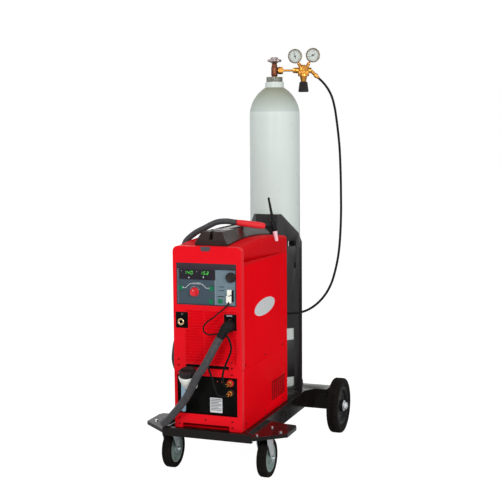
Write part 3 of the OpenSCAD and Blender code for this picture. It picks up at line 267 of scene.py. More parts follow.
@dataclass(frozen=True)
class Coating(Finish):
    """Sprayed paint or powder coat: a faint orange peel, uneven gloss and edges of another colour, which are wear
    and, on the reds, a painted highlight.
    """

    peel: float = 900.0
    peel_depth: float = 0.00006
    coat: float = 0.25
    drift: float = 0.07
    wear_and_highlight_colour: Colour = (0.5, 0.5, 0.5)
    wear_and_highlight: float = 0.25
    gloss: float = 0.3

    def tone(self, book: Recipe, room: Socket) -> Socket:
        """Gives the paint's colour, darker and lighter by a large cloud."""
        dark = toned(self.colour, 1.0 - self.drift)
        light = toned(self.colour, 1.0 + self.drift)
        return book.mix(book.span(book.noise(room, 5.0, 3.0), 0.3, 0.7), dark, light)

    def recipe(self, book: Recipe) -> Recipe:
        """Tones by a large cloud, gloss by a middle one, peel by a fine one, and lighter edges: wear, and on the
        reds a painted highlight.
        """
        room = book.place()
        tone = self.tone(book, room)
        # The edges take the wear-and-highlight colour: wear, and on the reds a painted highlight along the edges.
        wear_and_highlight = book.sum(
            book.edges(0.0012), book.span(book.noise(room, 120.0, 3.0), 0.45, 0.75, 0.0, self.wear_and_highlight), "MULTIPLY",
        )
        book.set(Base_Color=book.mix(wear_and_highlight, tone, self.wear_and_highlight_colour))
        gloss = book.noise(room, 26.0, 4.0, 0.6)
        book.set(Roughness=book.span(gloss, 0.25, 0.75, self.roughness - 0.05, self.roughness + 0.08))
        book.relief(book.noise(room, self.peel, 2.0), self.peel_depth, 0.6)
        return book.set(Specular_IOR_Level=self.gloss, Coat_Weight=self.coat, Coat_Roughness=0.12)


@dataclass(frozen=True)
class HeightShadedCoating(Coating):
    """Paint that turns evenly into another colour between two heights; the upper colour is painted shade."""

    # The upper colour is painted shade, darker towards the top.
    upper: Colour = (0.3, 0.3, 0.3)
    low: float = 0.0
    high: float = 1.0

    def tone(self, book: Recipe, room: Socket) -> Socket:
        """Blends the clouded paint into the upper colour, painted shade, by height."""
        split = book.node("SeparateXYZ")
        book.join(room, split.inputs[0])
        return book.mix(book.span(split.outputs["Z"], self.low, self.high), super().tone(book, room), self.upper)


@dataclass(frozen=True)
class Moulding(Finish):
    """Moulded plastic: an eroded grain, a slight haze and paler worn edges."""

    grain: float = 1800.0
    grain_depth: float = 0.00005
    haze: float = 0.05
    glow: float = 0.0
    gloss: float = 0.3

    def recipe(self, book: Recipe) -> Recipe:
        """Grain from a fine cloud, haze from a large one, and paler corners."""
        room = book.place()
        pale = toned(self.colour, 1.0, self.haze * 0.25 + 0.004)
        tone = book.mix(book.span(book.noise(room, 9.0, 4.0), 0.35, 0.7), self.colour, pale)
        worn = toned(self.colour, 1.35, 0.012)
        book.set(Base_Color=book.mix(book.edges(0.0008), tone, worn))
        book.set(
            Roughness=book.span(book.noise(room, 40.0, 3.0), 0.3, 0.7, self.roughness - 0.05, self.roughness + 0.07)
        )
        book.relief(book.noise(room, self.grain, 2.0), self.grain_depth, 0.7)
        book.set(Specular_IOR_Level=self.gloss)
        if self.glow > 0.0:
            book.set(Subsurface_Weight=self.glow, Subsurface_Radius=(0.01, 0.01, 0.008), Subsurface_Scale=0.4)
        return book


@dataclass(frozen=True)
class Metal(Finish):
    """Bare or plated metal with fine working marks and a patchy tarnish."""

    tarnish: Colour = (0.2, 0.2, 0.2)
    tarnish_share: float = 0.4
    marks: Place = (60.0, 60.0, 900.0)
    mark_depth: float = 0.00003

    def recipe(self, book: Recipe) -> Recipe:
        """Working marks from a stretched cloud, tarnish from a patchy one."""
        room = book.place()
        patch = book.span(book.noise(room, 55.0, 5.0, 0.62), 0.42, 0.68, 0.0, self.tarnish_share)
        book.set(Base_Color=book.mix(patch, self.colour, self.tarnish))
        lines = book.noise(book.place(self.marks), 1.0, 3.0)
        book.set(Roughness=book.span(lines, 0.3, 0.7, self.roughness - 0.07, self.roughness + 0.12))
        book.relief(lines, self.mark_depth, 0.5)
        return book.set(Metallic=1.0)


@dataclass(frozen=True)
class Rubber(Finish):
    """Black rubber with a dusty bloom and a fine grain."""

    bloom: Colour = (0.09, 0.088, 0.085)
    grain: float = 700.0
    gloss: float = 0.08

    def recipe(self, book: Recipe) -> Recipe:
        """Bloom from a broken cloud, grain from a fine one."""
        room = book.place()
        dust = book.span(book.noise(room, 34.0, 6.0, 0.65), 0.42, 0.78, 0.0, 0.55)
        book.set(Base_Color=book.mix(dust, self.colour, self.bloom))
        book.set(Roughness=book.span(dust, 0.0, 0.5, self.roughness, self.roughness + 0.2))
        book.relief(book.noise(room, self.grain, 3.0), 0.0001, 0.5)
        return book.set(Specular_IOR_Level=self.gloss)


@dataclass(frozen=True)
class Sleeving(Finish):
    """Woven or ribbed hose cover whose pattern follows the hose's own map: U along it in metres, V round it."""

    ribs: float = 420.0
    strands: float = 26.0
    depth: float = 0.00025
    bloom: Colour = (0.1, 0.1, 0.1)

    def recipe(self, book: Recipe) -> Recipe:
        """Ribs across the length times strands round it, under a dusty cloud."""
        along = book.bands(book.place((self.ribs, 0.0, 0.0), Space.SURFACE), 0.16)
        around = book.bands(book.place((0.0, self.strands, 0.0), Space.SURFACE), 0.16, "Y")
        weave = book.sum(along, around, "MULTIPLY")
        dust = book.span(book.noise(book.place(), 45.0, 6.0, 0.6), 0.4, 0.75, 0.0, 0.6)
        dark = toned(self.colour, 0.62)
        book.set(Base_Color=book.mix(dust, book.mix(weave, dark, self.colour), self.bloom))
        book.set(Roughness=book.span(dust, 0.0, 0.6, self.roughness, self.roughness + 0.15))
        book.relief(weave, self.depth, 0.6)
        return book.set(Specular_IOR_Level=0.25)


@dataclass(frozen=True)
class Ink(Finish):
    """Printed line or film, slightly uneven."""

    def recipe(self, book: Recipe) -> Recipe:
        """A fine cloud thins the print here and there."""
        thin = toned(self.colour, 0.82)
        speck = book.span(book.noise(book.place(), 700.0, 3.0), 0.35, 0.6)
        book.set(Base_Color=book.mix(speck, thin, self.colour))
        book.relief(book.noise(book.place(), 1500.0), 0.00002, 0.4)
        return book.set(Roughness=self.roughness, Specular_IOR_Level=0.15)


@dataclass(frozen=True)
class Lamp(Finish):
    """Lit indicator: a coloured lens with its own light, uneven across it."""

    strength: float = 1.2

    def recipe(self, book: Recipe) -> Recipe:
        """The light is a little weaker where a fine cloud is dark."""
        dim = toned(self.colour, 0.7)
        tone = book.mix(book.span(book.noise(book.place(), 900.0), 0.3, 0.6), dim, self.colour)
        book.set(Base_Color=tone)
        book.set(Emission_Color=tone)
        return book.set(Emission_Strength=self.strength, Roughness=self.roughness)


@dataclass(frozen=True)
class Lens(Finish):
    """Clear window with faint wipe marks."""

    def recipe(self, book: Recipe) -> Recipe:
        """Wipe marks from a stretched cloud change the gloss alone."""
        wipe = book.noise(book.place((300.0, 300.0, 40.0)), 1.0, 3.0)
        book.set(Roughness=book.span(wipe, 0.3, 0.7, self.roughness, self.roughness + 0.06))
        book.set(Base_Color=book.mix(wipe, self.colour, toned(self.colour, 1.04)))
        return book.set(Alpha=0.08, Specular_IOR_Level=0.1)


class Finishes:
    """Every finish of the set, by the part that wears it."""

    # The reds' pale pink edge colour is a painted highlight along their rounded edges.
    case_red = Coating(
        "case_red", shade(236, 3, 18), 0.42, coat=0.0, gloss=0.004, drift=0.035, wear_and_highlight_colour=shade(240, 96, 96),
        wear_and_highlight=0.35,
    )
    # The shoulder's own paint darkens towards the dome's top: painted shade.
    shoulder = HeightShadedCoating(
        "shoulder_paint_and_shade", shade(196, 206, 199), 0.4, coat=0.0, gloss=0.1, drift=0.02, peel=300.0,
        peel_depth=0.00012, wear_and_highlight_colour=shade(150, 150, 144), wear_and_highlight=0.5, upper=shade(140, 142, 122), low=1.47, high=1.581,
    )
    # Pale pink edge colour: a painted highlight on the edges.
    cover_red = Coating(
        "cover_red", shade(212, 8, 20), 0.42, coat=0.0, gloss=0.012, drift=0.03, wear_and_highlight_colour=shade(240, 96, 96), wear_and_highlight=0.3,
    )
    baffle_red = Coating("baffle_red", shade(214, 8, 22), 0.5, coat=0.0, gloss=0.01)
    # Dark red-black of painted shade: the shadow round the panel and the shade round the side screws.
    painted_shade = Moulding("painted_shade_red_black", shade(60, 12, 17), 0.5, haze=0.0, gloss=0.03)
    pale_plate = Moulding("pale_plate", shade(206, 208, 208), 0.4, haze=0.02, gloss=0.1)
    # Pale pink edge colour: a painted highlight on the edges.
    bezel_red = Coating(
        "bezel_red", shade(228, 14, 28), 0.34, coat=0.0, gloss=0.08, drift=0.03, peel=1300.0,
        wear_and_highlight_colour=shade(250, 110, 110), wear_and_highlight=0.3,
    )
    dark_red = Moulding("dark_red_screw", shade(96, 4, 12), 0.4, haze=0.0, gloss=0.03)
    cart_black = Coating(
        "cart_black", shade(22, 19, 17), 0.2, coat=0.06, gloss=0.12, drift=0.2, peel=500.0,
        wear_and_highlight_colour=shade(120, 116, 112), wear_and_highlight=0.5,
    )
    upright_grey = Coating(
        "upright_anthracite", shade(28, 26, 27), 0.3, coat=0.0, gloss=0.38, drift=0.1, peel=600.0,
        wear_and_highlight_colour=shade(130, 130, 134), wear_and_highlight=0.5,
    )
    strap_black = Coating("strap_black", shade(26, 26, 28), 0.4, drift=0.2, wear_and_highlight_colour=shade(110, 110, 112), wear_and_highlight=0.6)
    zinc = Metal(
        "zinc_plate", shade(198, 206, 208), 0.3, tarnish=shade(128, 150, 148), tarnish_share=0.5,
        marks=(90.0, 90.0, 260.0),
    )
    bright_steel = Metal(
        "bright_steel", shade(222, 222, 224), 0.2, tarnish=shade(150, 150, 152), tarnish_share=0.25,
        marks=(400.0, 400.0, 400.0),
    )
    rim_grey = Coating(
        "rim_grey", shade(132, 150, 144), 0.42, coat=0.05, gloss=0.1, drift=0.08, wear_and_highlight_colour=shade(170, 178, 174),
        wear_and_highlight=0.5,
    )
    rim_dark = Moulding("rim_dark", shade(18, 18, 19), 0.45, haze=0.0, gloss=0.12)
    tyre = Rubber("tyre_rubber", shade(20, 18, 16), 0.6, bloom=shade(44, 40, 36), gloss=0.03)
    panel_black = Moulding("panel_black", shade(7, 8, 6), 0.35, grain=1200.0, haze=0.0, gloss=0.03)
    handle_black = Moulding("handle_brown_black", shade(40, 27, 23), 0.2, grain=1400.0, haze=0.01, gloss=0.2)
    latch_grey = Moulding("latch_grey", shade(64, 62, 68), 0.42)
    tank_white = Moulding("tank_white", shade(226, 228, 220), 0.38, haze=0.02, glow=0.12)
    level_blue = Moulding("level_strip_blue", shade(150, 182, 200), 0.25, haze=0.03)
    cap_black = Moulding("cap_black", shade(30, 23, 23), 0.4, grain=900.0, haze=0.03, gloss=0.15)
    brass = Metal(
        "brass_fitting", shade(196, 138, 62), 0.28, tarnish=shade(112, 64, 30), tarnish_share=0.55,
        marks=(300.0, 300.0, 300.0),
    )
    copper_bronze = Metal(
        "valve_bronze", shade(108, 66, 48), 0.36, tarnish=shade(60, 34, 28), tarnish_share=0.6,
        marks=(200.0, 200.0, 500.0),
    )
    guard_grey = Metal(
        "guard_grey", shade(118, 120, 112), 0.42, tarnish=shade(72, 74, 68), tarnish_share=0.6,
        marks=(500.0, 500.0, 60.0),
    )
    wheel_grey = Metal("handwheel_grey", shade(150, 140, 138), 0.38, tarnish=shade(108, 92, 90), tarnish_share=0.6)
    chrome = Metal(
        "gauge_rim", shade(116, 108, 92), 0.3, tarnish=shade(84, 72, 54), tarnish_share=0.3,
        marks=(200.0, 200.0, 200.0),
    )
    inner_metal = Metal("inner_aluminium", shade(168, 172, 176), 0.36, tarnish=shade(120, 122, 124))
    inner_dark = Moulding("inner_dark", shade(46, 48, 50), 0.5)
    winding = Moulding("winding_copper_brown", shade(126, 74, 38), 0.45)
    capacitor = Moulding("capacitor_blue", shade(44, 74, 118), 0.35)
    fan_black = Moulding("fan_black", shade(44, 45, 47), 0.45)
    slate = Ink("panel_slate", shade(66, 82, 92), 0.35)
    column = Ink("panel_column", shade(112, 132, 142), 0.36)
    header = Moulding("panel_header", shade(50, 42, 50), 0.35, gloss=0.1)
    window = Moulding("display_window", shade(34, 28, 38), 0.12, haze=0.0)
    white_ink = Ink("white_ink", shade(226, 230, 232), 0.4)
    grey_ink = Ink("grey_ink", shade(168, 176, 182), 0.4)
    dark_ink = Ink("dark_ink", shade(48, 54, 62), 0.4)
    digit = Lamp("display_digits", shade(70, 200, 60), 0.3, strength=0.55)
    key_green = Moulding("key_green", shade(10, 114, 73), 0.4, haze=0.01, gloss=0.1)
    knob_red = Moulding("knob_red", shade(216, 30, 40), 0.36, gloss=0.2)
    grip_red = Moulding("grip_red", shade(222, 22, 34), 0.34)
    plug_white = Moulding("plug_white", shade(236, 236, 222), 0.4)
    cylinder = Coating(
        "cylinder_paint", shade(210, 219, 213), 0.3, coat=0.0, gloss=0.24, drift=0.02, peel=300.0,
        peel_depth=0.00012, wear_and_highlight_colour=shade(150, 150, 144), wear_and_highlight=0.5,
    )
    hose_black = Rubber("hose_black", shade(13, 12, 12), 0.4, bloom=shade(32, 30, 29))
    bush = Metal(
        "socket_bush", shade(206, 176, 136), 0.34, tarnish=shade(150, 118, 84), tarnish_share=0.4,
        marks=(300.0, 300.0, 300.0),
    )
    sleeve = Sleeving("hose_sleeve", shade(66, 66, 69), 0.5, bloom=shade(82, 81, 82))
    torch_black = Moulding("torch_black", shade(19, 19, 20), 0.38, haze=0.008, gloss=0.07)
    ceramic = Moulding("cup_ceramic", shade(238, 190, 200), 0.3, haze=0.03)
    dial = Ink("dial_card", shade(226, 234, 226), 0.5)
    glass = Lens("gauge_glass", (0.6, 0.62, 0.61), 0.1)
    lamp_red = Lamp("lamp_red", shade(150, 30, 30), 0.3, strength=0.15)


# ---------------------------------------------------------------- surfaces


def basis(axis: Sequence[float], across: Sequence[float]) -> Array:
    """Gives the three unit directions of a turned frame.

    Args:
        axis: Its third direction.
        across: Roughly its first direction.

    Returns:
        Rows: first, second and third direction.
    """
    third = np.asarray(axis, float) / np.linalg.norm(axis)
    first = np.asarray(across, float) - np.dot(across, third) * third
    first /= np.linalg.norm(first)
    return np.stack([first, np.cross(third, first), third])


def placed(name: str, data: bpy.types.ID) -> Object:
    """Puts new data into the scene as an object."""
    made = bpy.data.objects.new(name, data)
    bpy.context.scene.collection.objects.link(made)
    return made


def weld(mesh: bpy.types.Mesh, gap: float, outwards: bool = False) -> None:
    """Merges corners closer than the gap and, if asked, turns every face outwards."""
    work = bmesh.new()
    work.from_mesh(mesh)
    bmesh.ops.remove_doubles(work, verts=work.verts, dist=gap)
    if outwards:
        bmesh.ops.recalc_face_normals(work, faces=work.faces)
    work.to_mesh(mesh)
    work.free()


def number_faces(mesh: bpy.types.Mesh, choose: Chooser) -> None:
    """Gives each face the number of its finish, chosen from all face centres and normals at once."""
    count = len(mesh.polygons)
    centre, normal = np.empty(count * 3, np.float32), np.empty(count * 3, np.float32)
    mesh.polygons.foreach_get("center", centre)
    mesh.polygons.foreach_get("normal", normal)
    chosen = choose(centre.reshape(-1, 3), normal.reshape(-1, 3))
    mesh.polygons.foreach_set("material_index", np.ascontiguousarray(chosen, np.int32))


def piece(
    name: str,
    points: Array,
    faces: Sequence[Sequence[int]],
    finish: Finish,
    uv: Array | None = None,
    smooth: float = 32.0,
) -> Object:
    """Puts points and faces into a new object at the origin.

    Args:
        name: The object's name.
        points: Corner positions, one row each.
        faces: Corner numbers of each face.
        finish: The finish that it wears.
        uv: Map positions, one row for each corner of each face, if the pattern needs them.
        smooth: Edges sharper than this many degrees stay sharp.

    Returns:
        The object.
    """
    mesh = bpy.data.meshes.new(name)
    mesh.from_pydata(points.tolist(), [], faces)
    if uv is not None:
        layer = mesh.uv_layers.new(name="surface")
        layer.data.foreach_set("uv", np.ascontiguousarray(uv, np.float32).ravel())
    weld(mesh, 1e-7, True)
    mesh.shade_smooth()
    mesh.set_sharp_from_angle(angle=math.radians(smooth))
    mesh.materials.append(finish.material())
    return placed(name, mesh)


def sheet_grid(rows: int, columns: int, ring: bool) -> tuple[Array, Array]:
    """Numbers the quads of a grid of points.

    Args:
        rows: Points along the first way.
        columns: Points along the second way.
        ring: True if the second way closes on itself.

    Returns:
        Corner numbers of each quad, and each corner's map position from 0 to 1.
    """
    i, j = np.meshgrid(np.arange(rows - 1), np.arange(columns if ring else columns - 1), indexing="ij")
    i, j = i.ravel(), j.ravel()
    step = np.array([[0, 0], [1, 0], [1, 1], [0, 1]])
    a = i[:, None] + step[None, :, 0]
    b = j[:, None] + step[None, :, 1]
    quads = a * columns + (b % columns)
    uv = np.stack([a / (rows - 1), b / (columns if ring else columns - 1)], -1)
    return quads, uv


def ringed(name: str, grid: Array, finish: Finish, length: float = 1.0, smooth: float = 32.0) -> Object:
    """Closes a stack of rings into a skin: flat ends, or round on itself if the last ring is the first.

    Args:
        name: The object's name.
        grid: Points, one row of the first index for each ring.
        finish: The finish that it wears.
        length: Length that the map's U runs over.
        smooth: Edges sharper than this many degrees stay sharp.

    Returns:
        The object.
    """
    rings, sides = grid.shape[:2]
    quads, uv = sheet_grid(rings, sides, True)
    ends = [list(range(sides))[::-1], list(range((rings - 1) * sides, rings * sides))]
    if np.allclose(grid[0], grid[-1], atol=1e-9):
        ends = []
    uv = uv.reshape(-1, 2) * np.array([length, 1.0])
    uv = np.concatenate([uv, np.zeros((sides * len(ends), 2))])
    return piece(name, grid.reshape(-1, 3), quads.tolist() + ends, finish, uv, smooth)


def lathe(
    name: str,
    profile: Profile,
    centre: Sequence[float],
    axis: Sequence[float],
    finish: Finish,
    sides: int = 64,
    flutes: int = 0,
    flute_depth: float | Sequence[float] = 0.0,
    sharp: float = 2.0,
    smooth: float = 32.0,
) -> Object:
    """Turns a profile of (radius, height) about an axis: radius less depth times a raised cosine of the angle.

    Args:
        name: The object's name.
        profile: Radii and heights from one end to the other.
        centre: Where height 0 lies on the axis.
        axis: Direction of the heights.
        finish: The finish that it wears.
        sides: Points round the turn.
        flutes: Number of flutes round it.
        flute_depth: Depth of the flutes, one number or one for each point of the profile.
        sharp: How narrow the flutes are.
        smooth: Edges sharper than this many degrees stay sharp.

    Returns:
        The object.
    """
    shape = np.asarray(profile, float)
    turn = np.linspace(0.0, 2.0 * np.pi, sides, endpoint=False)
    depth = np.broadcast_to(np.asarray(flute_depth, float), (len(shape),))
    wave = (0.5 + 0.5 * np.cos(flutes * turn)) ** sharp if flutes else np.zeros(sides)
    radius = np.maximum(shape[:, 0, None] - depth[:, None] * wave[None, :], 0.0)
    across = (1.0, 0.0, 0.0) if abs(axis[0]) < 0.9 else (0.0, 0.0, 1.0)
    first, second, third = basis(axis, across)
    grid = (
        np.asarray(centre, float)
        + radius[..., None] * (np.cos(turn)[:, None] * first + np.sin(turn)[:, None] * second)[None]
        + shape[:, 1, None, None] * third
    )
    return ringed(name, grid, finish, float(np.ptp(shape[:, 1])), smooth)


def arc(cx: float, cz: float, radius: float, start: float, end: float, steps: int = 8) -> Profile:
    """Gives points of an arc about (cx, cz), from start to end in degrees."""
    turn = np.radians(np.linspace(start, end, steps + 1))
    return list(zip((cx + radius * np.cos(turn)).tolist(), (cz + radius * np.sin(turn)).tolist()))


def rounded(width: float, height: float, radius: float, steps: int = 6) -> Array:
    """Gives the outline of a rounded rectangle about its own middle."""
    corner = np.array(arc(0.0, 0.0, radius, 0.0, 90.0, steps))
    turns = [np.array([[c, -s], [s, c]]) for c, s in ((1, 0), (0, 1), (-1, 0), (0, -1))]
    offsets = np.array([[1, 1], [-1, 1], [-1, -1], [1, -1]]) * np.array([width / 2 - radius, height / 2 - radius])
    return np.concatenate([corner @ t.T + o for t, o in zip(turns, offsets)])


def box(x0: float, z0: float, x1: float, z1: float) -> Array:
    """Gives a rectangle's outline."""
    return np.array([[x0, z0], [x1, z0], [x1, z1], [x0, z1]])


def stroke(x0: float, z0: float, x1: float, z1: float, width: float) -> Array:
    """Gives the outline of a straight stroke: its two ends moved half the width to either side."""
    a, b = np.array([x0, z0]), np.array([x1, z1])
    along = (b - a) / np.linalg.norm(b - a)
    side = np.array([-along[1], along[0]]) * width / 2
    return np.array([a - side, b - side, b + side, a + side])


def closed(section: Profile) -> Profile:
    """Gives a section that ends where it starts, for a ring with a bore."""
    return section + [section[0]]


def mirrored(half: Profile, middle: Sequence[tuple[float, float]] = ()) -> Profile:
    """Gives a closed section from its lower half, the points between, and the half with its heights mirrored."""
    return closed(half + list(middle) + [(a, -b) for a, b in half[::-1]])


def slabs(
    name: str, outlines: Sequence[Array], low: float, high: float, finish: Finish, round_edge: float = 0.0,
) -> Object:
    """Raises flat outlines in X and Z into slabs between two depths in Y.

    Args:
        name: The object's name.
        outlines: Outlines as rows of (x, z).
        low: The Y of their front faces.
        high: The Y of their back faces.
        finish: The finish that they wear.
        round_edge: Width of the rounding of their edges.

    Returns:
        One object that holds all the slabs.
    """
    points, faces, start = [], [], 0
    for outline in outlines:
        n = len(outline)
        front = np.column_stack([outline[:, 0], np.full(n, low), outline[:, 1]])
        points += [front, front + np.array([0.0, high - low, 0.0])]
        k = np.arange(n)
        walls = np.stack([start + k, start + (k + 1) % n, start + n + (k + 1) % n, start + n + k], 1)
        faces += walls.tolist() + [(start + k).tolist(), (start + n + k[::-1]).tolist()]
        start += 2 * n
    made = piece(name, np.concatenate(points), faces, finish)
    if round_edge:
        soften(made, round_edge)
    return made


def stand(
    made: Object, across: Sequence[float], look: Sequence[float], origin: Sequence[float]
) -> Object:
    """Moves a piece drawn in X and Z onto an upright plane that looks another way.

    Args:
        made: The piece, its front towards -Y.
        across: Level direction that its X takes.
        look: Level direction that its front takes.
        origin: Where its origin goes.

    Returns:
        The piece.
    """
    place = Matrix(np.stack([across, -np.asarray(look, float), [0.0, 0.0, 1.0]], 1).tolist()).to_4x4()
    place.translation = Vector(np.asarray(origin, float).tolist())
    made.data.transform(place)
    return made


def soften(made: Object, width: float, segments: int = 2, angle: float = 35.0) -> None:
    """Rounds an object's sharp edges with a live bevel."""
    bevel = made.modifiers.new("edges", "BEVEL")
    bevel.width = width
    bevel.segments = segments
    bevel.limit_method = "ANGLE"
    bevel.angle_limit = math.radians(angle)
    bevel.harden_normals = True
    bevel.miter_outer = "MITER_ARC"


def smooth_path(route: Sequence[Sequence[float]], step: float) -> Array:
    """Runs one smooth curve through a route: cubic pieces whose slopes are the route's own differences.

    Args:
        route: Points of the route.
        step: Distance between the curve's points.

    Returns:
        The curve's points.
    """
    knots = np.asarray(route, float)
    run = np.concatenate([[0.0], np.cumsum(np.linalg.norm(np.diff(knots, axis=0), axis=1))])
    slope = np.gradient(knots, run, axis=0)
    at = np.linspace(0.0, run[-1], max(8, int(run[-1] / step)))
    i = np.clip(np.searchsorted(run, at, side="right") - 1, 0, len(run) - 2)
    h = (run[i + 1] - run[i])[:, None]
    t = ((at - run[i]) / h[:, 0])[:, None]
    a, b = 2 * t**3 - 3 * t**2 + 1, t**3 - 2 * t**2 + t
    c, d = -2 * t**3 + 3 * t**2, t**3 - t**2
    return a * knots[i] + b * h * slope[i] + c * knots[i + 1] + d * h * slope[i + 1]


def carried_frames(path: Array, across: Sequence[float]) -> tuple[Array, Array]:
    """Carries a cross direction along a path without twist, one station after the other.

    Args:
        path: Points of the path.
        across: Cross direction at its start.

    Returns:
        First and second cross directions at each point.
    """
    tangent = np.gradient(path, axis=0)
    tangent /= np.linalg.norm(tangent, axis=1)[:, None]
    first = np.empty_like(path)
    held = np.asarray(across, float)
    for k, t in enumerate(tangent):
        held = held - np.dot(held, t) * t
        held /= np.linalg.norm(held)
        first[k] = held
    return first, np.cross(tangent, first)


def tube(
    name: str,
    path: Array,
    radius: Array | float,
    finish: Finish,
    sides: int = 20,
    across: Sequence[float] = (0.0, 1.0, 0.0),
) -> Object:
    """Sweeps a circle along a path: centre plus radius times the turning cross direction.

    Args:
        name: The object's name.
        path: Points of the path.
        radius: Its radius, one number or one for each point.
        finish: The finish that it wears.
        sides: Points round it.
        across: Cross direction at its start.

    Returns:
        The object.
    """
    first, second = carried_frames(path, across)
    turn = np.linspace(0.0, 2.0 * np.pi, sides, endpoint=False)
    ring = np.cos(turn)[None, :, None] * first[:, None] + np.sin(turn)[None, :, None] * second[:, None]
    size = np.broadcast_to(np.asarray(radius, float), (len(path),))[:, None, None]
    length = float(np.linalg.norm(np.diff(path, axis=0), axis=1).sum())
    return ringed(name, path[:, None] + size * ring, finish, length, 60.0)


def join_pieces(name: str, parts: Sequence[Object]) -> Object:
    """Joins finished pieces into one object and keeps their materials."""
    bpy.ops.object.select_all(action="DESELECT")
    for part in parts:
        part.select_set(True)
    bpy.context.view_layer.objects.active = parts[0]
    bpy.ops.object.join()
    parts[0].name = name
    parts[0].data.name = name
    return parts[0]


def settle(made: Object, node: str, replace: bool = True) -> Object:
    """Makes a piece ride with a node's body and, if asked, stand for it.

    Args:
        made: The piece.
        node: The solid that it belongs to.
        replace: True if the piece stands for the solid.

    Returns:
        The piece.
    """
    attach(made, BODY_OF[node])
    if replace:
        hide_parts(node)
    log.info("%s rides on %s", made.name, BODY_OF[node])
    return made


def laid(
    node: str, name: str, outlines: Sequence[
        Array
    ], low: float, high: float, finish: Finish
) -> Object:
    """Raises outlines into slabs that ride with a node and don't stand for it."""
    return settle(slabs(name, outlines, low, high, finish), node, False)


def refined(
    node: str,
    finishes: Sequence[Finish],
    width: float = 0.0006,
    choose: Chooser | None = None,
    segments: int = 2,
    angle: float = 35.0,
    reshape: Callable[[Array], Array] | None = None,
) -> Object:
    """Rounds the edges of a solid's copy, which then stands for the solid.

    Args:
        node: The solid.
        finishes: The finishes that it wears.
        width: Width of its rounded edges.
        choose: Gives each face the number of its finish, from face centres and normals.
        segments: Steps across a rounded edge.
        angle: Edges sharper than this many degrees are rounded.
        reshape: Gives the copy's corners their new places.

    Returns:
        The piece.
    """
    mesh = frame["nodes"][node].data.copy()
    mesh.name = f"{node}_skin"
    mesh.materials.clear()
    weld(mesh, 2e-6)
    for finish in finishes:
        mesh.materials.append(finish.material())
    if reshape is not None:
        corners = np.empty(len(mesh.vertices) * 3, np.float32)
        mesh.vertices.foreach_get("co", corners)
        moved = reshape(corners.reshape(-1, 3).astype(float))
        mesh.vertices.foreach_set("co", np.ascontiguousarray(moved, np.float32).ravel())
        mesh.update()
    if choose is not None:
        number_faces(mesh, choose)
    else:
        mesh.polygons.foreach_set("material_index", np.zeros(len(mesh.polygons), np.int32))
    mesh.shade_smooth()
    mesh.set_sharp_from_angle(angle=math.radians(28.0))
    made = placed(f"{node}_skin", mesh)
    if width:
        soften(made, width, segments, angle)
    return settle(made, node)


# ---------------------------------------------------------------- camera, light and floor


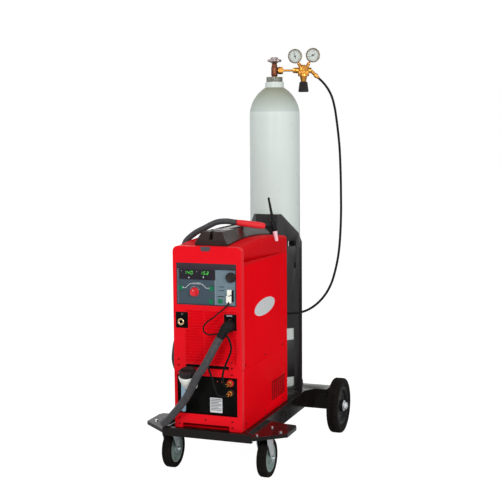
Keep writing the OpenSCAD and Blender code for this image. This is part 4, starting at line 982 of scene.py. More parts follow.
@dataclass
class Studio:
    """Camera, lamps, sky and floor."""

    eye: Place = (1.6255, -4.3265, 1.3803)
    yaw: float = 20.4
    pitch: float = 6.21
    roll: float = -0.45
    lens: float = 77.94

    def camera(self) -> None:
        """Sets the camera: it looks along yaw to the left of +Y and pitch downwards, tipped by roll."""
        yaw, pitch, roll = np.radians([self.yaw, self.pitch, self.roll])
        look = np.array([-np.sin(yaw) * np.cos(pitch), np.cos(yaw) * np.cos(pitch), -np.sin(pitch)])
        right = np.array([np.cos(yaw), np.sin(yaw), 0.0])
        up = np.cross(right, look)
        side = np.cos(roll) * right + np.sin(roll) * up
        top = -np.sin(roll) * right + np.cos(roll) * up
        data = bpy.data.cameras.new("camera")
        data.lens = self.lens
        data.sensor_width = 36.0
        data.clip_end = 60.0
        eye = placed("camera", data)
        matrix = Matrix(np.stack([side, top, -look], 1).tolist()).to_4x4()
        matrix.translation = Vector(self.eye)
        eye.matrix_world = matrix
        bpy.context.scene.camera = eye

    def lamp(self, name: str, place: Sequence[float], aim: Sequence[float], size: float, watts: float) -> None:
        """Hangs a square soft lamp at a place and aims it."""
        data = bpy.data.lights.new(name, "AREA")
        data.shape = "SQUARE"
        data.size = size
        data.energy = watts
        made = placed(name, data)
        made.location = place
        made.rotation_euler = (Vector(aim) - Vector(place)).to_track_quat("-Z", "Y").to_euler()

    def sky(self) -> None:
        """Sets a plain sky: soft on the object, white where the camera, gloss and glass see it."""
        world = bpy.data.worlds.new("sky")
        bpy.context.scene.world = world
        world.use_nodes = True
        tree = world.node_tree
        tree.nodes.clear()
        out = tree.nodes.new("ShaderNodeOutputWorld")
        both = tree.nodes.new("ShaderNodeMixShader")
        soft, white = (tree.nodes.new("ShaderNodeBackground") for _ in range(2))
        soft.inputs["Color"].default_value = (0.93, 0.95, 1.0, 1.0)
        soft.inputs["Strength"].default_value = 0.34
        white.inputs["Color"].default_value = (1.0, 1.0, 1.0, 1.0)
        white.inputs["Strength"].default_value = 1.0
        path = tree.nodes.new("ShaderNodeLightPath")
        seen, shown = (tree.nodes.new("ShaderNodeMath") for _ in range(2))
        seen.operation = shown.operation = "MAXIMUM"
        tree.links.new(path.outputs["Is Camera Ray"], seen.inputs[0])
        tree.links.new(path.outputs["Is Transmission Ray"], seen.inputs[1])
        tree.links.new(path.outputs["Is Glossy Ray"], shown.inputs[0])
        tree.links.new(seen.outputs[0], shown.inputs[1])
        tree.links.new(shown.outputs[0], both.inputs[0])
        tree.links.new(soft.outputs[0], both.inputs[1])
        tree.links.new(white.outputs[0], both.inputs[2])
        tree.links.new(both.outputs[0], out.inputs["Surface"])

    def floor(self) -> None:
        """Lays a pale floor that glows white to the camera and keeps the object's soft shadow."""
        book = Recipe("floor")
        glow = book.node("Emission", Strength=1.32)
        both = book.node("MixShader")
        path = book.node("LightPath")
        book.join(book.span(path.outputs["Is Camera Ray"], 0.0, 1.0, 0.0, 0.72), both.inputs[0])
        book.join(book.shader.outputs["BSDF"], both.inputs[1])
        book.join(glow.outputs[0], both.inputs[2])
        book.join(both.outputs[0], book.output.inputs["Surface"])
        book.set(Base_Color=(0.86, 0.86, 0.86, 1.0), Roughness=0.9)
        corners = np.array([[-14, -8, 0], [14, -8, 0], [14, 34, 0], [-14, 34, 0]], float)
        mesh = bpy.data.meshes.new("floor")
        mesh.from_pydata(corners.tolist(), [], [(0, 1, 2, 3)])
        mesh.materials.append(book.material)
        placed("floor", mesh)

    def build(self) -> None:
        """Sets up camera, lamps, sky and floor."""
        bpy.context.scene.view_settings.view_transform = "Standard"
        self.camera()
        self.sky()
        self.floor()
        self.lamp("key", (0.15, -4.9, 2.3), (0.0, -0.2, 0.8), 1.1, 76.0)
        self.lamp("second", (3.0, -3.3, 2.2), (0.1, 0.0, 0.9), 0.9, 60.0)
        self.lamp("side", (3.6, -0.8, 1.5), (0.1, 0.0, 0.8), 1.8, 20.0)
        self.lamp("top", (-0.3, 0.0, 3.9), (0.0, 0.0, 0.9), 2.0, 20.0)
        self.lamp("rim", (-2.8, -0.6, 2.2), (0.0, 0.0, 1.0), 1.4, 12.0)


# ---------------------------------------------------------------- hoses and leads


@dataclass(eq=False)
class Lead:
    """One hose or lead: its node, its route and its real length and diameter."""

    node: str
    route: list[Place]
    length: float
    width: float
    width_end: float
    finish: Finish = Finishes.hose_black
    far_end: str = "object"
    stiffness: str = "limp"
    lay: str = "hanging"
    along: Place = (0.0, 1.0, 0.0)
    sides: int = 20
    wrinkle: float = 0.0

    def build(self) -> Object:
        """Sweeps the lead: its radius runs evenly from end to end, less a slow ripple."""
        path = smooth_path(self.route, max(0.0025, self.width * 0.16))
        run = np.linspace(0.0, 1.0, len(path))
        metres = run * self.length
        ripple = self.wrinkle * (
            np.sin(metres * 61.0) * 0.5 + np.sin(metres * 143.0 + 1.0) * 0.3 + np.sin(metres * 27.0) * 0.4
        )
        radius = 0.5 * (self.width + (self.width_end - self.width) * run) * (1.0 - np.abs(ripple))
        made = tube(self.node + "_run", path, radius, self.finish, self.sides, self.along)
        self.path = path
        return settle(made, self.node)

    def declare(self, made: Object, with_pieces: Sequence[object] = ()) -> None:
        """Picks about 120 points along the lead's path, with its last point; nothing is done with them."""
        points = self.path[:: max(1, len(self.path) // 120)]
        if np.linalg.norm(points[-1] - self.path[-1]) > 1e-6:
            points = np.vstack([points, self.path[-1]])


@dataclass
class Leads:
    """The torch's hose pack, its two coolant hoses, the control lead and the gas hose."""

    pack: Lead = Lead(
        "torch_hose",
        [
            (0.075, -0.498, 0.59), (0.057, -0.512, 0.553), (0.034, -0.519, 0.508), (0.011, -0.521, 0.47),
            (-0.011, -0.521, 0.44), (-0.036, -0.521, 0.392), (-0.063, -0.519, 0.346), (-0.095, -0.516, 0.305),
            (-0.125, -0.51, 0.272), (-0.153, -0.5, 0.243), (-0.176, -0.485, 0.227), (-0.187, -0.462, 0.224),
            (-0.19, -0.436, 0.221), (-0.188, -0.402, 0.215), (-0.176, -0.345, 0.228), (-0.166, -0.3, 0.262),
            (-0.165, -0.275, 0.31), (-0.172, -0.29, 0.362), (-0.183, -0.33, 0.415), (-0.187, -0.345, 0.455),
            (-0.183, -0.345, 0.505), (-0.17, -0.34, 0.57), (-0.165, -0.318, 0.66), (-0.164, -0.302, 0.75),
            (-0.168, -0.286, 0.836), (-0.174, -0.27, 0.888), (-0.174, -0.252, 0.93), (-0.14, -0.248, 0.964),
            (-0.089, -0.244, 0.992), (-0.042, -0.223, 1.015), (-0.012, -0.203, 1.0175), (0.0169, -0.1766, 1.0115),
        ],
        1.61, 0.0316, 0.024, Finishes.sleeve, "tool", "medium", "loose", sides=32, wrinkle=0.012,
    )
    gas: Lead = Lead(
        "gas_hose",
        [
            (0.186, 0.457, 1.6235), (0.207, 0.461, 1.602), (0.231, 0.456, 1.573), (0.251, 0.449, 1.538),
            (0.266, 0.443, 1.49), (0.277, 0.436, 1.435), (0.287, 0.428, 1.375), (0.296, 0.419, 1.31),
            (0.303, 0.407, 1.24), (0.309, 0.394, 1.17), (0.314, 0.38, 1.1), (0.319, 0.364, 1.03),
            (0.322, 0.347, 0.96), (0.323, 0.33, 0.895), (0.321, 0.311, 0.83), (0.313, 0.29, 0.765),
            (0.3, 0.27, 0.708), (0.276, 0.252, 0.658), (0.243, 0.236, 0.619), (0.208, 0.219, 0.594),
            (0.176, 0.2, 0.583), (0.146, 0.176, 0.582), (0.126, 0.148, 0.584), (0.12, 0.1171, 0.585),
        ],
        1.27, 0.0105, 0.0105, stiffness="stiff",
    )
    control: Lead = Lead(
        "control_cable",
        [
            (0.094, -0.459, 0.714), (0.082, -0.468, 0.7), (0.063, -0.48, 0.683), (0.043, -0.49, 0.665),
            (0.02, -0.499, 0.647), (0.008, -0.504, 0.628), (0.013, -0.507, 0.611), (0.029, -0.507, 0.602),
            (0.048, -0.505, 0.603), (0.069, -0.5, 0.606),
        ],
        0.209, 0.006, 0.006, sides=16,
    )
    flow: Lead = Lead(
        "coolant_hose_flow",
        [
            (0.086, -0.492, 0.606), (0.098, -0.502, 0.603), (0.111, -0.505, 0.594), (0.119, -0.505, 0.577),
            (0.123, -0.503, 0.55), (0.112, -0.5, 0.517), (0.097, -0.5, 0.483), (0.088, -0.503, 0.452),
            (0.087, -0.506, 0.434), (0.09, -0.5075, 0.419), (0.093, -0.5045, 0.4075),
            (0.094, -0.497, 0.4008), (0.094, -0.4885, 0.399), (0.094, -0.4811, 0.399),
        ],
        0.264, 0.008, 0.008,
    )
    back: Lead = Lead(
        "coolant_hose_return",
        [
            (0.08, -0.477, 0.598), (0.069, -0.478, 0.577), (0.054, -0.485, 0.553), (0.037, -0.492, 0.52),
            (0.025, -0.497, 0.49), (0.028, -0.499, 0.461), (0.039, -0.499, 0.43), (0.048, -0.5, 0.404),
            (0.056, -0.503, 0.381), (0.067, -0.5065, 0.366), (0.079, -0.506, 0.3603),
            (0.09, -0.5005, 0.3598), (0.0959, -0.491, 0.36), (0.096, -0.4811, 0.36),
        ],
        0.3, 0.008, 0.008,
    )

    def boot(self) -> Object:
        """Sweeps a ribbed elbow from the socket round to the hose; its radius tapers in steps towards the hose."""
        corner, mouth = np.array([0.097, -0.481, 0.634]), np.array(self.pack.route[0])
        run = np.linspace(0.0, 1.0, 90)
        start = corner + np.array([0.0, 0.0355, 0.0])
        bent = (
            ((1 - run) ** 2)[:, None] * start
            + (2 * run * (1 - run))[:, None] * (corner + np.array([0.004, -0.008, 0.004]))
            + (run**2)[:, None] * mouth
        )
        rings = np.where((run > 0.5), 0.0012 * (np.sin(run * 150.0) > 0.0), 0.0)
        radius = np.interp(run, [0.0, 0.3, 0.55, 1.0], [0.0198, 0.0215, 0.0212, 0.0168]) - rings
        elbow = tube("boot_elbow", bent, radius, Finishes.torch_black, 40)
        depth = [0, 0.0012, 0.0012, 0.0012, 0.0012, 0]
        collar = lathe(
            "boot_collar",
            [(0.0, 0.0), (0.0225, 0.0), (0.0235, 0.001), (0.0235, 0.011), (0.022, 0.0125), (0.0, 0.0125)],
            (0.097, -0.4463, 0.628), (0.0, -1.0, 0.0), Finishes.torch_black, 96, 24, depth, 1.0,
        )
        soften(collar, 0.0005)
        return settle(join_pieces("torch_boot_skin", [elbow, collar]), "torch_boot")

    def build(self) -> None:
        boot = self.boot()
        runs = {
            lead.node: (lead, lead.build())
            for lead in (self.pack, self.gas, self.control, self.flow, self.back)
        }
        plug = ControlPlug().build()
        for node, (lead, made) in runs.items():
            extra = {"torch_hose": [boot], "control_cable": [plug]}.get(node, [])
            lead.declare(made, extra)


@dataclass
class ControlPlug:
    """White rectangular plug of the control lead with its dark side clip and boot."""

    x: float = 0.099
    z: float = 0.746
    face: float = PANEL_FACE
    depth: float = 0.016

    def build(self) -> Object:
        """Stacks two stepped white shells, a dark clip on the right and a small ribbed boot below."""
        front = self.face - self.depth
        shells = [
            slabs(
                f"plug_{name}", [rounded(*size) + [self.x + dx, self.z + dz]], front + back, self.face, finish,
                edge,
            )
            for name, size, dx, dz, back, finish, edge in (
                ("lower", (0.0215, 0.029, 0.003), -0.0022, -0.0115, 0.0, Finishes.plug_white, 0.001),
                ("upper", (0.019, 0.022, 0.003), -0.001, 0.0147, 0.003, Finishes.plug_white, 0.001),
                ("clip", (0.0042, 0.047, 0.0015), 0.0108, 0.001, 0.002, Finishes.torch_black, 0.0006),
            )
        ]
        hook = np.array(
            [
                [-0.006, 0], [0.003, 0], [0.005, 0.004], [0.008, 0.004], [0.008, 0.0055], [0.004, 0.0055],
                [0.002, 0.0015], [-0.006, 0.0015],
            ]
        )
        latch = slabs(
            "plug_latch", [hook + [self.x, self.z + 0.0005]], front - 0.0004, front + 0.004, Finishes.dark_ink,
        )
        end = np.array([0.094, -0.459, 0.714])
        start = np.array([self.x - 0.002, front + 0.004, self.z - 0.022])
        run = np.linspace(0.0, 1.0, 40)
        radius = np.interp(run, [0.0, 1.0], [0.0048, 0.0036]) - 0.0006 * (np.sin(run * 45.0) > 0)
        boot = tube("plug_boot", start + run[:, None] * (end - start), radius, Finishes.torch_black, 20)
        return settle(join_pieces("control_plug_skin", shells + [latch, boot]), "control_plug")


# ---------------------------------------------------------------- cart


@dataclass
class Cart:
    """Black sheet-steel cart: frame, front plate, upright, strap and fasteners."""

    wing_foot: Place = (0.051, 0.259, 0.0)
    wing_along: Place = (0.6385, 0.7696, 0.0)
    wing_look: Place = (0.7696, -0.6385, 0.0)
    screw_rows: tuple[float, float] = (0.466, 0.231)
    screw_files: Place = (-0.401, -0.175, 0.051)

    def frame(self) -> None:
        """Rounds the bent edges of the frame and the front plate."""
        refined("chassis_frame", [Finishes.cart_black], 0.0012)
        refined("front_plate", [Finishes.cart_black], 0.001)

    def upright(self) -> None:
        """Finishes the bent upright, backs two of its slots with a dark sheet of painted shade, and finishes the
        cylinder's band.
        """
        refined("cylinder_upright", [Finishes.upright_grey], 0.0006)
        refined("cylinder_strap", [Finishes.strap_black, Finishes.zinc], 0.0004)
        cuts = [box(0.050, 0.863, 0.101, 0.891), box(0.088, 0.761, 0.100, 0.791)]
        # Dark sheet behind two slots: painted shade inside them.
        shade_sheet = slabs("slot_shade_sheet", cuts, 0.0030, 0.0042, Finishes.panel_black)
        settle(stand(shade_sheet, self.wing_along, self.wing_look, self.wing_foot), "cylinder_upright", False)

    def fasteners(self) -> None:
        """Finishes the plated axle, bright bolts and dark red screws; each side screw gets a thin dark disc of
        painted shade.
        """

        def kind(centre: Array, normal: Array) -> Array:
            """Gives 0 for bright parts of the cart and 1 for the casing's screws."""
            casing = (np.abs(centre[:, 0]) < 0.1465) & (centre[:, 1] < 0.2) & (centre[:, 2] > 0.209)
            return casing.astype(int)

        refined("rear_axle", [Finishes.zinc], 0.0006)
        refined("fasteners", [Finishes.bright_steel, Finishes.dark_red], 0.0004, kind)
        spots = [(side * CASE_SIDE, y, z) for side in (-1, 1) for y in self.screw_files for z in self.screw_rows]
        # Thin dark discs round the side screws: painted shade of their dimples.
        bore, rim, rise = 0.0034, 0.0046, 0.0004
        disc = closed([(bore, -rise), (rim, -rise), (rim, rise), (bore, 1.5 * rise)])
        shade_discs = [
            lathe(f"screw_shade_disc_{n}", disc, spot, (math.copysign(1.0, spot[0]), 0, 0), Finishes.painted_shade, 28)
            for n, spot in enumerate(spots)
        ]
        settle(join_pieces("screw_shade_discs", shade_discs), "fasteners", False)

    def build(self) -> None:
        """Builds the cart."""
        self.frame()
        self.upright()
        self.fasteners()


@dataclass
class Wheel:
    """A wheel at one side of the cart, turned about X."""

    side: str
    sign: int
    x: float
    y: float
    z: float
    radius: float
    half: float

    def turned(self, part: str, section: Profile, finish: Finish, sides: int, **ways: object) -> Object:
        """Turns a section round the wheel's axle into the skin of one of its parts."""
        centre = (self.sign * self.x, self.y, self.z)
        return lathe(f"{part}_{self.side}_skin", section, centre, (1, 0, 0), finish, sides, **ways)


@dataclass
class CasterWheel(Wheel):
    """Swivel caster: zinc fork, grey rim and black tyre with two fine grooves."""

    x: float = 0.206
    y: float = -0.332
    z: float = 0.08
    radius: float = 0.0797
    half: float = 0.02

    def tyre(self) -> None:
        """Turns the tyre's section: flat side walls, a round shoulder and a crown with two grooves."""
        r, h = self.radius, self.half
        half = [(r - 0.0219, -h + 0.003), (r - 0.014, -h)] + arc(r - 0.009, -h + 0.009, 0.009, -90, -22, 8)
        half += [(r - 0.0004, -0.0085), (r - 0.0016, -0.0078), (r - 0.0016, -0.0066), (r - 0.0002, -0.0058)]
        made = self.turned("caster_tyre", mirrored(half, [(r, 0.0)]), Finishes.tyre, 128)
        settle(made, f"caster_tyre_{self.side}")

    def rim(self) -> None:
        """Turns the rim's section: a hub, a dished web and a rolled edge."""
        r, h = self.radius - 0.022, self.half
        half = [
            (0.0082, -h - 0.0014), (0.0205, -h - 0.0014), (0.022, -h), (0.024, -0.0105), (0.027, -0.0085),
            (r - 0.015, -0.0065), (r - 0.0105, -0.009),
        ]
        half += [(r - 0.008, -h + 0.0045), (r - 0.0065, -h + 0.0035), (r - 0.0008, -h + 0.0035), (r, -h + 0.0045)]
        made = self.turned("caster_rim", mirrored(half), Finishes.rim_grey, 96)
        settle(made, f"caster_rim_{self.side}")

    def build(self) -> None:
        """Builds the caster's fork, rim and tyre."""
        refined(f"caster_fork_{self.side}", [Finishes.zinc], 0.0006)
        self.rim()
        self.tyre()


@dataclass
class RearWheel(Wheel):
    """Large rear wheel: dark rim with a hub and a black tyre with a blocky crown."""

    x: float = 0.300
    y: float = 0.394
    z: float = 0.126
    radius: float = 0.1257
    half: float = 0.025
    hub_radius: float = 0.0245

    def tyre(self) -> None:
        """Turns the tyre's section with two grooves; its crown is notched by a raised cosine of the angle."""
        r, h = self.radius, self.half
        half = (
            [(r - 0.0378, -h + 0.004), (r - 0.026, -h), (r - 0.019, -h)]
            + arc(r - 0.01, -h + 0.01, 0.01, -90, -14, 8)
        )
        half += [
            (r - 0.0001, -0.013), (r - 0.0001, -0.0062), (r - 0.0032, -0.0054), (r - 0.0032, -0.0036), (r, -0.0028),
        ]
        section = mirrored(half)
        shape = np.array(section)
        depth = np.where((np.abs(shape[:, 1]) > 0.0125) & (shape[:, 0] > r - 0.009), 0.0022, 0.0)
        made = self.turned(
            "rear_tyre", section, Finishes.tyre, 288, flutes=48, flute_depth=depth, sharp=3.0, smooth=40.0,
        )
        settle(made, f"rear_tyre_{self.side}")

    def rim(self) -> None:
        """Turns the rim's section: hub, dished disc and bead seat; its hub is zinc."""

        def kind(centre: Array, normal: Array) -> Array:
            """Gives 1 for the hub."""
            return np.hypot(centre[:, 1] - self.y, centre[:, 2] - self.z) < self.hub_radius

        r, h, hub = self.radius - 0.038, self.half, 0.028
        half = [
            (0.0101, -hub), (0.022, -hub), (0.0242, -hub + 0.002), (0.027, -0.0105), (0.031, -0.0075),
            (0.046, -0.0058), (0.05, -0.0085), (r - 0.022, -0.0085), (r - 0.018, -0.0058),
        ]
        half += [(r - 0.0115, -h + 0.008), (r - 0.009, -h + 0.005), (r - 0.001, -h + 0.005), (r, -h + 0.006)]
        made = self.turned("rear_rim", mirrored(half), Finishes.rim_dark, 120)
        made.data.materials.append(Finishes.zinc.material())
        number_faces(made.data, kind)
        settle(made, f"rear_rim_{self.side}")

    def build(self) -> None:
        """Builds the wheel's rim and tyre."""
        self.rim()
        self.tyre()


# ---------------------------------------------------------------- cooler


@dataclass
class Cooler:
    """Water cooler: casing, front, tank with filler and cap, couplings and core."""

    recess: float = RECESS_FACE
    flow: tuple[float, float] = (0.094, 0.399)
    back: tuple[float, float] = (0.096, 0.360)
    cap_seat: Place = (-0.066, -0.490, 0.432)
    plate_at: tuple[float, float] = (0.0315, 0.305)
    lamps_x: tuple[float, float] = (0.037, 0.057)
    lamps_z: float = 0.401
    tilt: float = 18.0

    def axis(self) -> Array:
        """Gives the direction out of the filler's mouth."""
        turn = math.radians(self.tilt)
        return np.array([0.0, -math.sin(turn), math.cos(turn)])

    def tank(self) -> None:
        """Rounds the tank with its filler neck; its level strip is blue."""

        def strip(centre: Array, normal: Array) -> Array:
            """Gives 1 for the level strip at the left."""
            return ((centre[:, 0] < -0.0985) & (np.abs(centre[:, 1] + 0.438) < 0.0015)).astype(int)

        refined("coolant_tank", [Finishes.tank_white, Finishes.level_blue], 0.0012, strip)

    def cap(self) -> None:
        """Turns the cap with twelve finger scallops, a low crown and a grip bar."""
        r, h = 0.035, 0.022
        shape = (
            [(0.0, 0.0), (r - 0.001, 0.0), (r, 0.001), (r, 0.0035), (r, 0.008)]
            + arc(r - 0.006, h - 0.006, 0.006, 0, 90, 8)
            + [(0.022, h), (0.020, h - 0.0015), (0.0, h - 0.0015)]
        )
        depth = [0, 0, 0, 0, 0.0028] + [0.003] * 6 + [0.0] * (len(shape) - 11)
        made = lathe("cap_body", shape, self.cap_seat, self.axis(), Finishes.cap_black, 180, 12, depth, 2.5)
        bar = slabs("cap_bar", [rounded(0.052, 0.0085, 0.003)], -0.0025, 0.0042, Finishes.cap_black, 0.0012)
        first, second, third = basis(self.axis(), (1.0, 0.0, 0.0))
        turn = Matrix(np.stack([first, third, -second], 1).tolist()).to_4x4()
        turn.translation = Vector((np.array(self.cap_seat) + third * h).tolist())
        bar.data.transform(turn)
        settle(join_pieces("tank_cap_skin", [made, bar]), "tank_cap")

    def couplings(self) -> None:
        """Adds to the brass nipples a coloured grip ring each, ribbed by a raised cosine."""

        def kind(centre: Array, normal: Array) -> Array:
            """Gives 1 for the rings that are hidden under the ribbed grips."""
            reach = np.minimum(
                np.hypot(centre[:, 0] - self.flow[0], centre[:, 2] - self.flow[1]),
                np.hypot(centre[:, 0] - self.back[0], centre[:, 2] - self.back[1]),
            )
            return (reach > 0.0125).astype(int)

        refined("coolant_couplings", [Finishes.brass, Finishes.dark_red], 0.0004, kind)
        ring = [(0.0075, 0.0), (0.0138, 0.0), (0.0148, 0.001), (0.0148, 0.0068), (0.0138, 0.0078), (0.0075, 0.0078)]
        depth = [0, 0.0004, 0.0012, 0.0012, 0.0004, 0, 0]
        for name, (x, z), finish in (
            ("flow", self.flow, Finishes.knob_red), ("return", self.back, Finishes.cap_black),
        ):
            seat = (x, self.recess - 0.0003, z)
            made = lathe(f"coupling_ring_{name}", closed(ring), seat, (0, -1, 0), finish, 120, 20, depth, 1.0)
            settle(made, "coolant_couplings", False)

    def panel(self) -> None:
        """Finishes the recessed panel and adds a riveted plate of plain rows and two indicator lamps."""
        refined("recess_panel", [Finishes.panel_black], 0.0004)
        x, z = self.plate_at
        face, back, ink = self.recess - 0.0015, self.recess - 0.0011, self.recess - 0.0016
        plate = slabs(
            "rating_plate", [rounded(0.052, 0.060, 0.002) + [x, z]], face, back, Finishes.pale_plate, 0.0001,
        )
        settle(plate, "recess_panel", False)
        rows = []
        for n in range(8):
            short = n % 3 == 2
            rows.append(
                rounded(0.044 - 0.012 * short, 0.0022, 0.0005, 2) + [x - 0.006 * short, z + 0.024 - 0.0062 * n]
            )
        laid("recess_panel", "plate_rows", rows, ink, self.recess - 0.00145, Finishes.dark_ink)
        stud = [(0.0, 0.0), (0.0013, 0.0), (0.0011, 0.0006), (0.0, 0.0009)]
        corners = [(x + a, self.recess - 0.0014, z + b) for b in (0.0275, -0.0275) for a in (-0.0235, 0.0235)]
        rivets = [
            lathe(f"plate_rivet_{n}", stud, corner, (0, -1, 0), Finishes.bright_steel, 20)
            for n, corner in enumerate(corners)
        ]
        settle(join_pieces("plate_rivets", rivets), "recess_panel", False)
        bead = [(0.0, 0.0), (0.0027, 0.0), (0.0027, 0.0012), (0.0015, 0.0022), (0.0, 0.0025)]
        for n, x in enumerate(self.lamps_x):
            seat = (x, self.recess - 0.0001, self.lamps_z)
            lamp = lathe(f"cooler_lamp_{n}", bead, seat, (0, -1, 0), Finishes.lamp_red, 24)
            settle(lamp, "recess_panel", False)

    def case(self) -> None:
        """Sets each side's field of slots low and long, with a dark sheet of painted shade behind it."""
        first_y, first_z, pitch_y, pitch_z = -0.060, 0.290, 0.022, 0.012
        wider, taller = 0.002, 0.0012

        def lowered(corners: Array) -> Array:
            """Moves both side walls' corners and widens the slots by a sine of their pitch; screw rows stay."""
            x, y, z = corners.T
            wall = np.abs(x) > 0.14
            share = np.interp(z, [0.240, 0.286, 0.390, 0.440], [0.0, 1.0, 1.0, 0.0]) * wall
            open_y = wider * np.sin(2.0 * np.pi * (y - first_y) / pitch_y)
            open_z = taller * np.sin(2.0 * np.pi * (z - first_z) / pitch_z)
            inside = wall * (z > 0.286) * (z < 0.390) * (np.abs(y - 0.006) < 0.0735)
            y, z = y + inside * open_y, z + inside * open_z
            level = np.interp(z, [0.205, 0.240, 0.287, 0.389, 0.452], [0.205, 0.240, 0.250, 0.330, 0.452])
            length = np.interp(y, [CASE_FRONT, -0.067, 0.079, CASE_REAR], [CASE_FRONT, -0.089, 0.077, CASE_REAR])
            return np.column_stack([x, y + share * (length - y), np.where(wall, level, z)])

        refined("cooler_case", [Finishes.case_red], 0.0008, reshape=lowered)
        inner, half = 0.1418, 0.0006
        plates = [box(side * inner - half, 0.244, side * inner + half, 0.336) for side in (-1, 1)]
        # Dark sheets behind the side slots: painted shade inside them.
        laid("cooler_case", "vent_shade_sheet", plates, -0.096, 0.084, Finishes.panel_black)

    def core(self) -> None:
        """Finishes the radiator, the pump and its motor."""

        def kind(centre: Array, normal: Array) -> Array:
            """Gives 1 for the motor and 0 for the radiator."""
            return (centre[:, 1] < 0.0).astype(int)

        refined("cooler_core", [Finishes.inner_metal, Finishes.inner_dark], 0.0008, kind)

    def build(self) -> None:
        """Builds the cooler."""
        self.case()
        refined("cooler_front", [Finishes.bezel_red], 0.0015, segments=3)
        self.panel()
        self.tank()
        self.cap()
        self.couplings()
        self.core()


# ---------------------------------------------------------------- power source


@dataclass
class PowerSource:
    """Casing of the power source: bezel, louvres, covers, handle, rear panel and inner parts."""

    def shell(self) -> None:
        """Rounds the moulded bezel, the louvres and the sheet covers."""
        refined("front_bezel", [Finishes.bezel_red], 0.003, segments=4)
        refined("louvre_panel", [Finishes.bezel_red], 0.0005)
        for side in ("left", "right"):
            refined(f"side_cover_{side}", [Finishes.case_red], 0.0006)
        self.cover()
        self.linings()
        self.side_plates()

    def linings(self) -> None:
        """Backs the louvres with a red baffle and sets the dark band below them."""
        laid(
            "louvre_panel", "louvre_baffle", [box(-0.096, 0.473, 0.123, 0.683)], -0.4415, -0.4400,
            Finishes.baffle_red,
        )
        laid(
            "louvre_panel", "seam_band", [box(-0.094, 0.4555, 0.090, 0.4645)], -0.4453, -0.4448,
            Finishes.panel_black,
        )

    def side_plates(self) -> None:
        """Lays a bare oval plate on each side: an ellipse tipped up towards the rear."""
        turn = np.linspace(0.0, 2.0 * np.pi, 72, endpoint=False)
        ellipse = np.column_stack([0.122 * np.cos(turn), 0.034 * np.sin(turn)])
        for side, node in ((-1, "side_cover_left"), (1, "side_cover_right")):
            tilt = math.radians(side * 1.8)
            tip = np.array([[math.cos(tilt), math.sin(tilt)], [-math.sin(tilt), math.cos(tilt)]])
            plate = slabs(f"side_plate_{side}", [ellipse @ tip], -0.0007, 0.0002, Finishes.pale_plate, 0.0003)
            stand(plate, (0.0, side, 0.0), (side, 0.0, 0.0), (side * CASE_SIDE, -0.173, 0.6675))
            settle(plate, node, False)

    def cover(self) -> None:
        """Lofts the cover: a sheet arched from front to back with a shallow pocket at each side."""
        front, rear, side, foot = -0.4147, CASE_REAR, CASE_SIDE, 0.8623
        end_z, rise, corner, sheet = 0.934, 0.016, 0.016, 0.002
        middle, half_length, pocket_length, pocket_depth = (front + rear) / 2, (rear - front) / 2, 0.495, 0.024
        rings = []
        for y in np.linspace(front, rear, 45):
            top = end_z + rise * (1.0 - ((y - middle) / half_length) ** 2)
            back = min(0.985, (y - front) / pocket_length)
            edge = min(0.922 - 0.057 * back, top - corner - sheet)
            sill, deep = 0.8753 - 0.0103 * back, side - pocket_depth * (1.0 - back)
            outer = [(side, foot), (side, sill), (deep, sill + 0.0002), (side, edge)]
            outer += arc(side - corner, top - corner, corner, 0, 90, 10)
            inner = arc(side - corner, top - corner, corner - sheet, 90, 0, 10) + [(side - sheet, edge + 0.0015)]
            inner += [(deep - sheet, sill + 0.0012), (deep - sheet, sill - sheet), (side - sheet, sill - sheet)]
            inner += [(side - sheet, foot)]
            half = outer + [(-x, z) for x, z in outer[::-1]]
            half += [(-x, z) for x, z in inner[::-1]] + inner
            rings.append([(x, y, z) for x, z in half])
        made = ringed("top_cover_skin", np.array(rings), Finishes.cover_red, 1.0, 28.0)
        settle(made, "top_cover")

    def handle(self) -> None:
        """Rounds the handle moulding; its latch tongue is greyer."""

        def kind(centre: Array, normal: Array) -> Array:
            """Gives 1 for the latch tongue in front of the handle."""
            return (centre[:, 1] < -0.4405).astype(int)

        refined("carry_handle", [Finishes.handle_black, Finishes.latch_grey], 0.0022, kind, 3)

    def rear(self) -> None:
        """Finishes the rear panel with the mains switch."""
        refined("rear_panel", [Finishes.panel_black], 0.0005)
        refined("mains_switch", [Finishes.cap_black], 0.0008)

    def inside(self) -> None:
        """Finishes the inverter, its windings and capacitors, and the fan."""

        def kind(centre: Array, normal: Array) -> Array:
            """Gives a number to each inner part by its place."""
            chosen = np.zeros(len(centre), int)
            high = centre[:, 2] > 0.4555
            chosen[high & (centre[:, 0] > 0.0715)] = 1
            chosen[high & (centre[:, 0] < -0.0695)] = 2
            chosen[high & (centre[:, 1] > 0.028)] = 3
            return chosen

        refined(
            "inverter_module", [Finishes.inner_metal, Finishes.winding, Finishes.capacitor, Finishes.inner_dark],
            0.0006, kind,
        )
        refined("cooling_fan", [Finishes.fan_black], 0.0005)

    def build(self) -> None:
        """Builds the power source."""
        self.shell()
        self.handle()
        self.rear()
        self.inside()


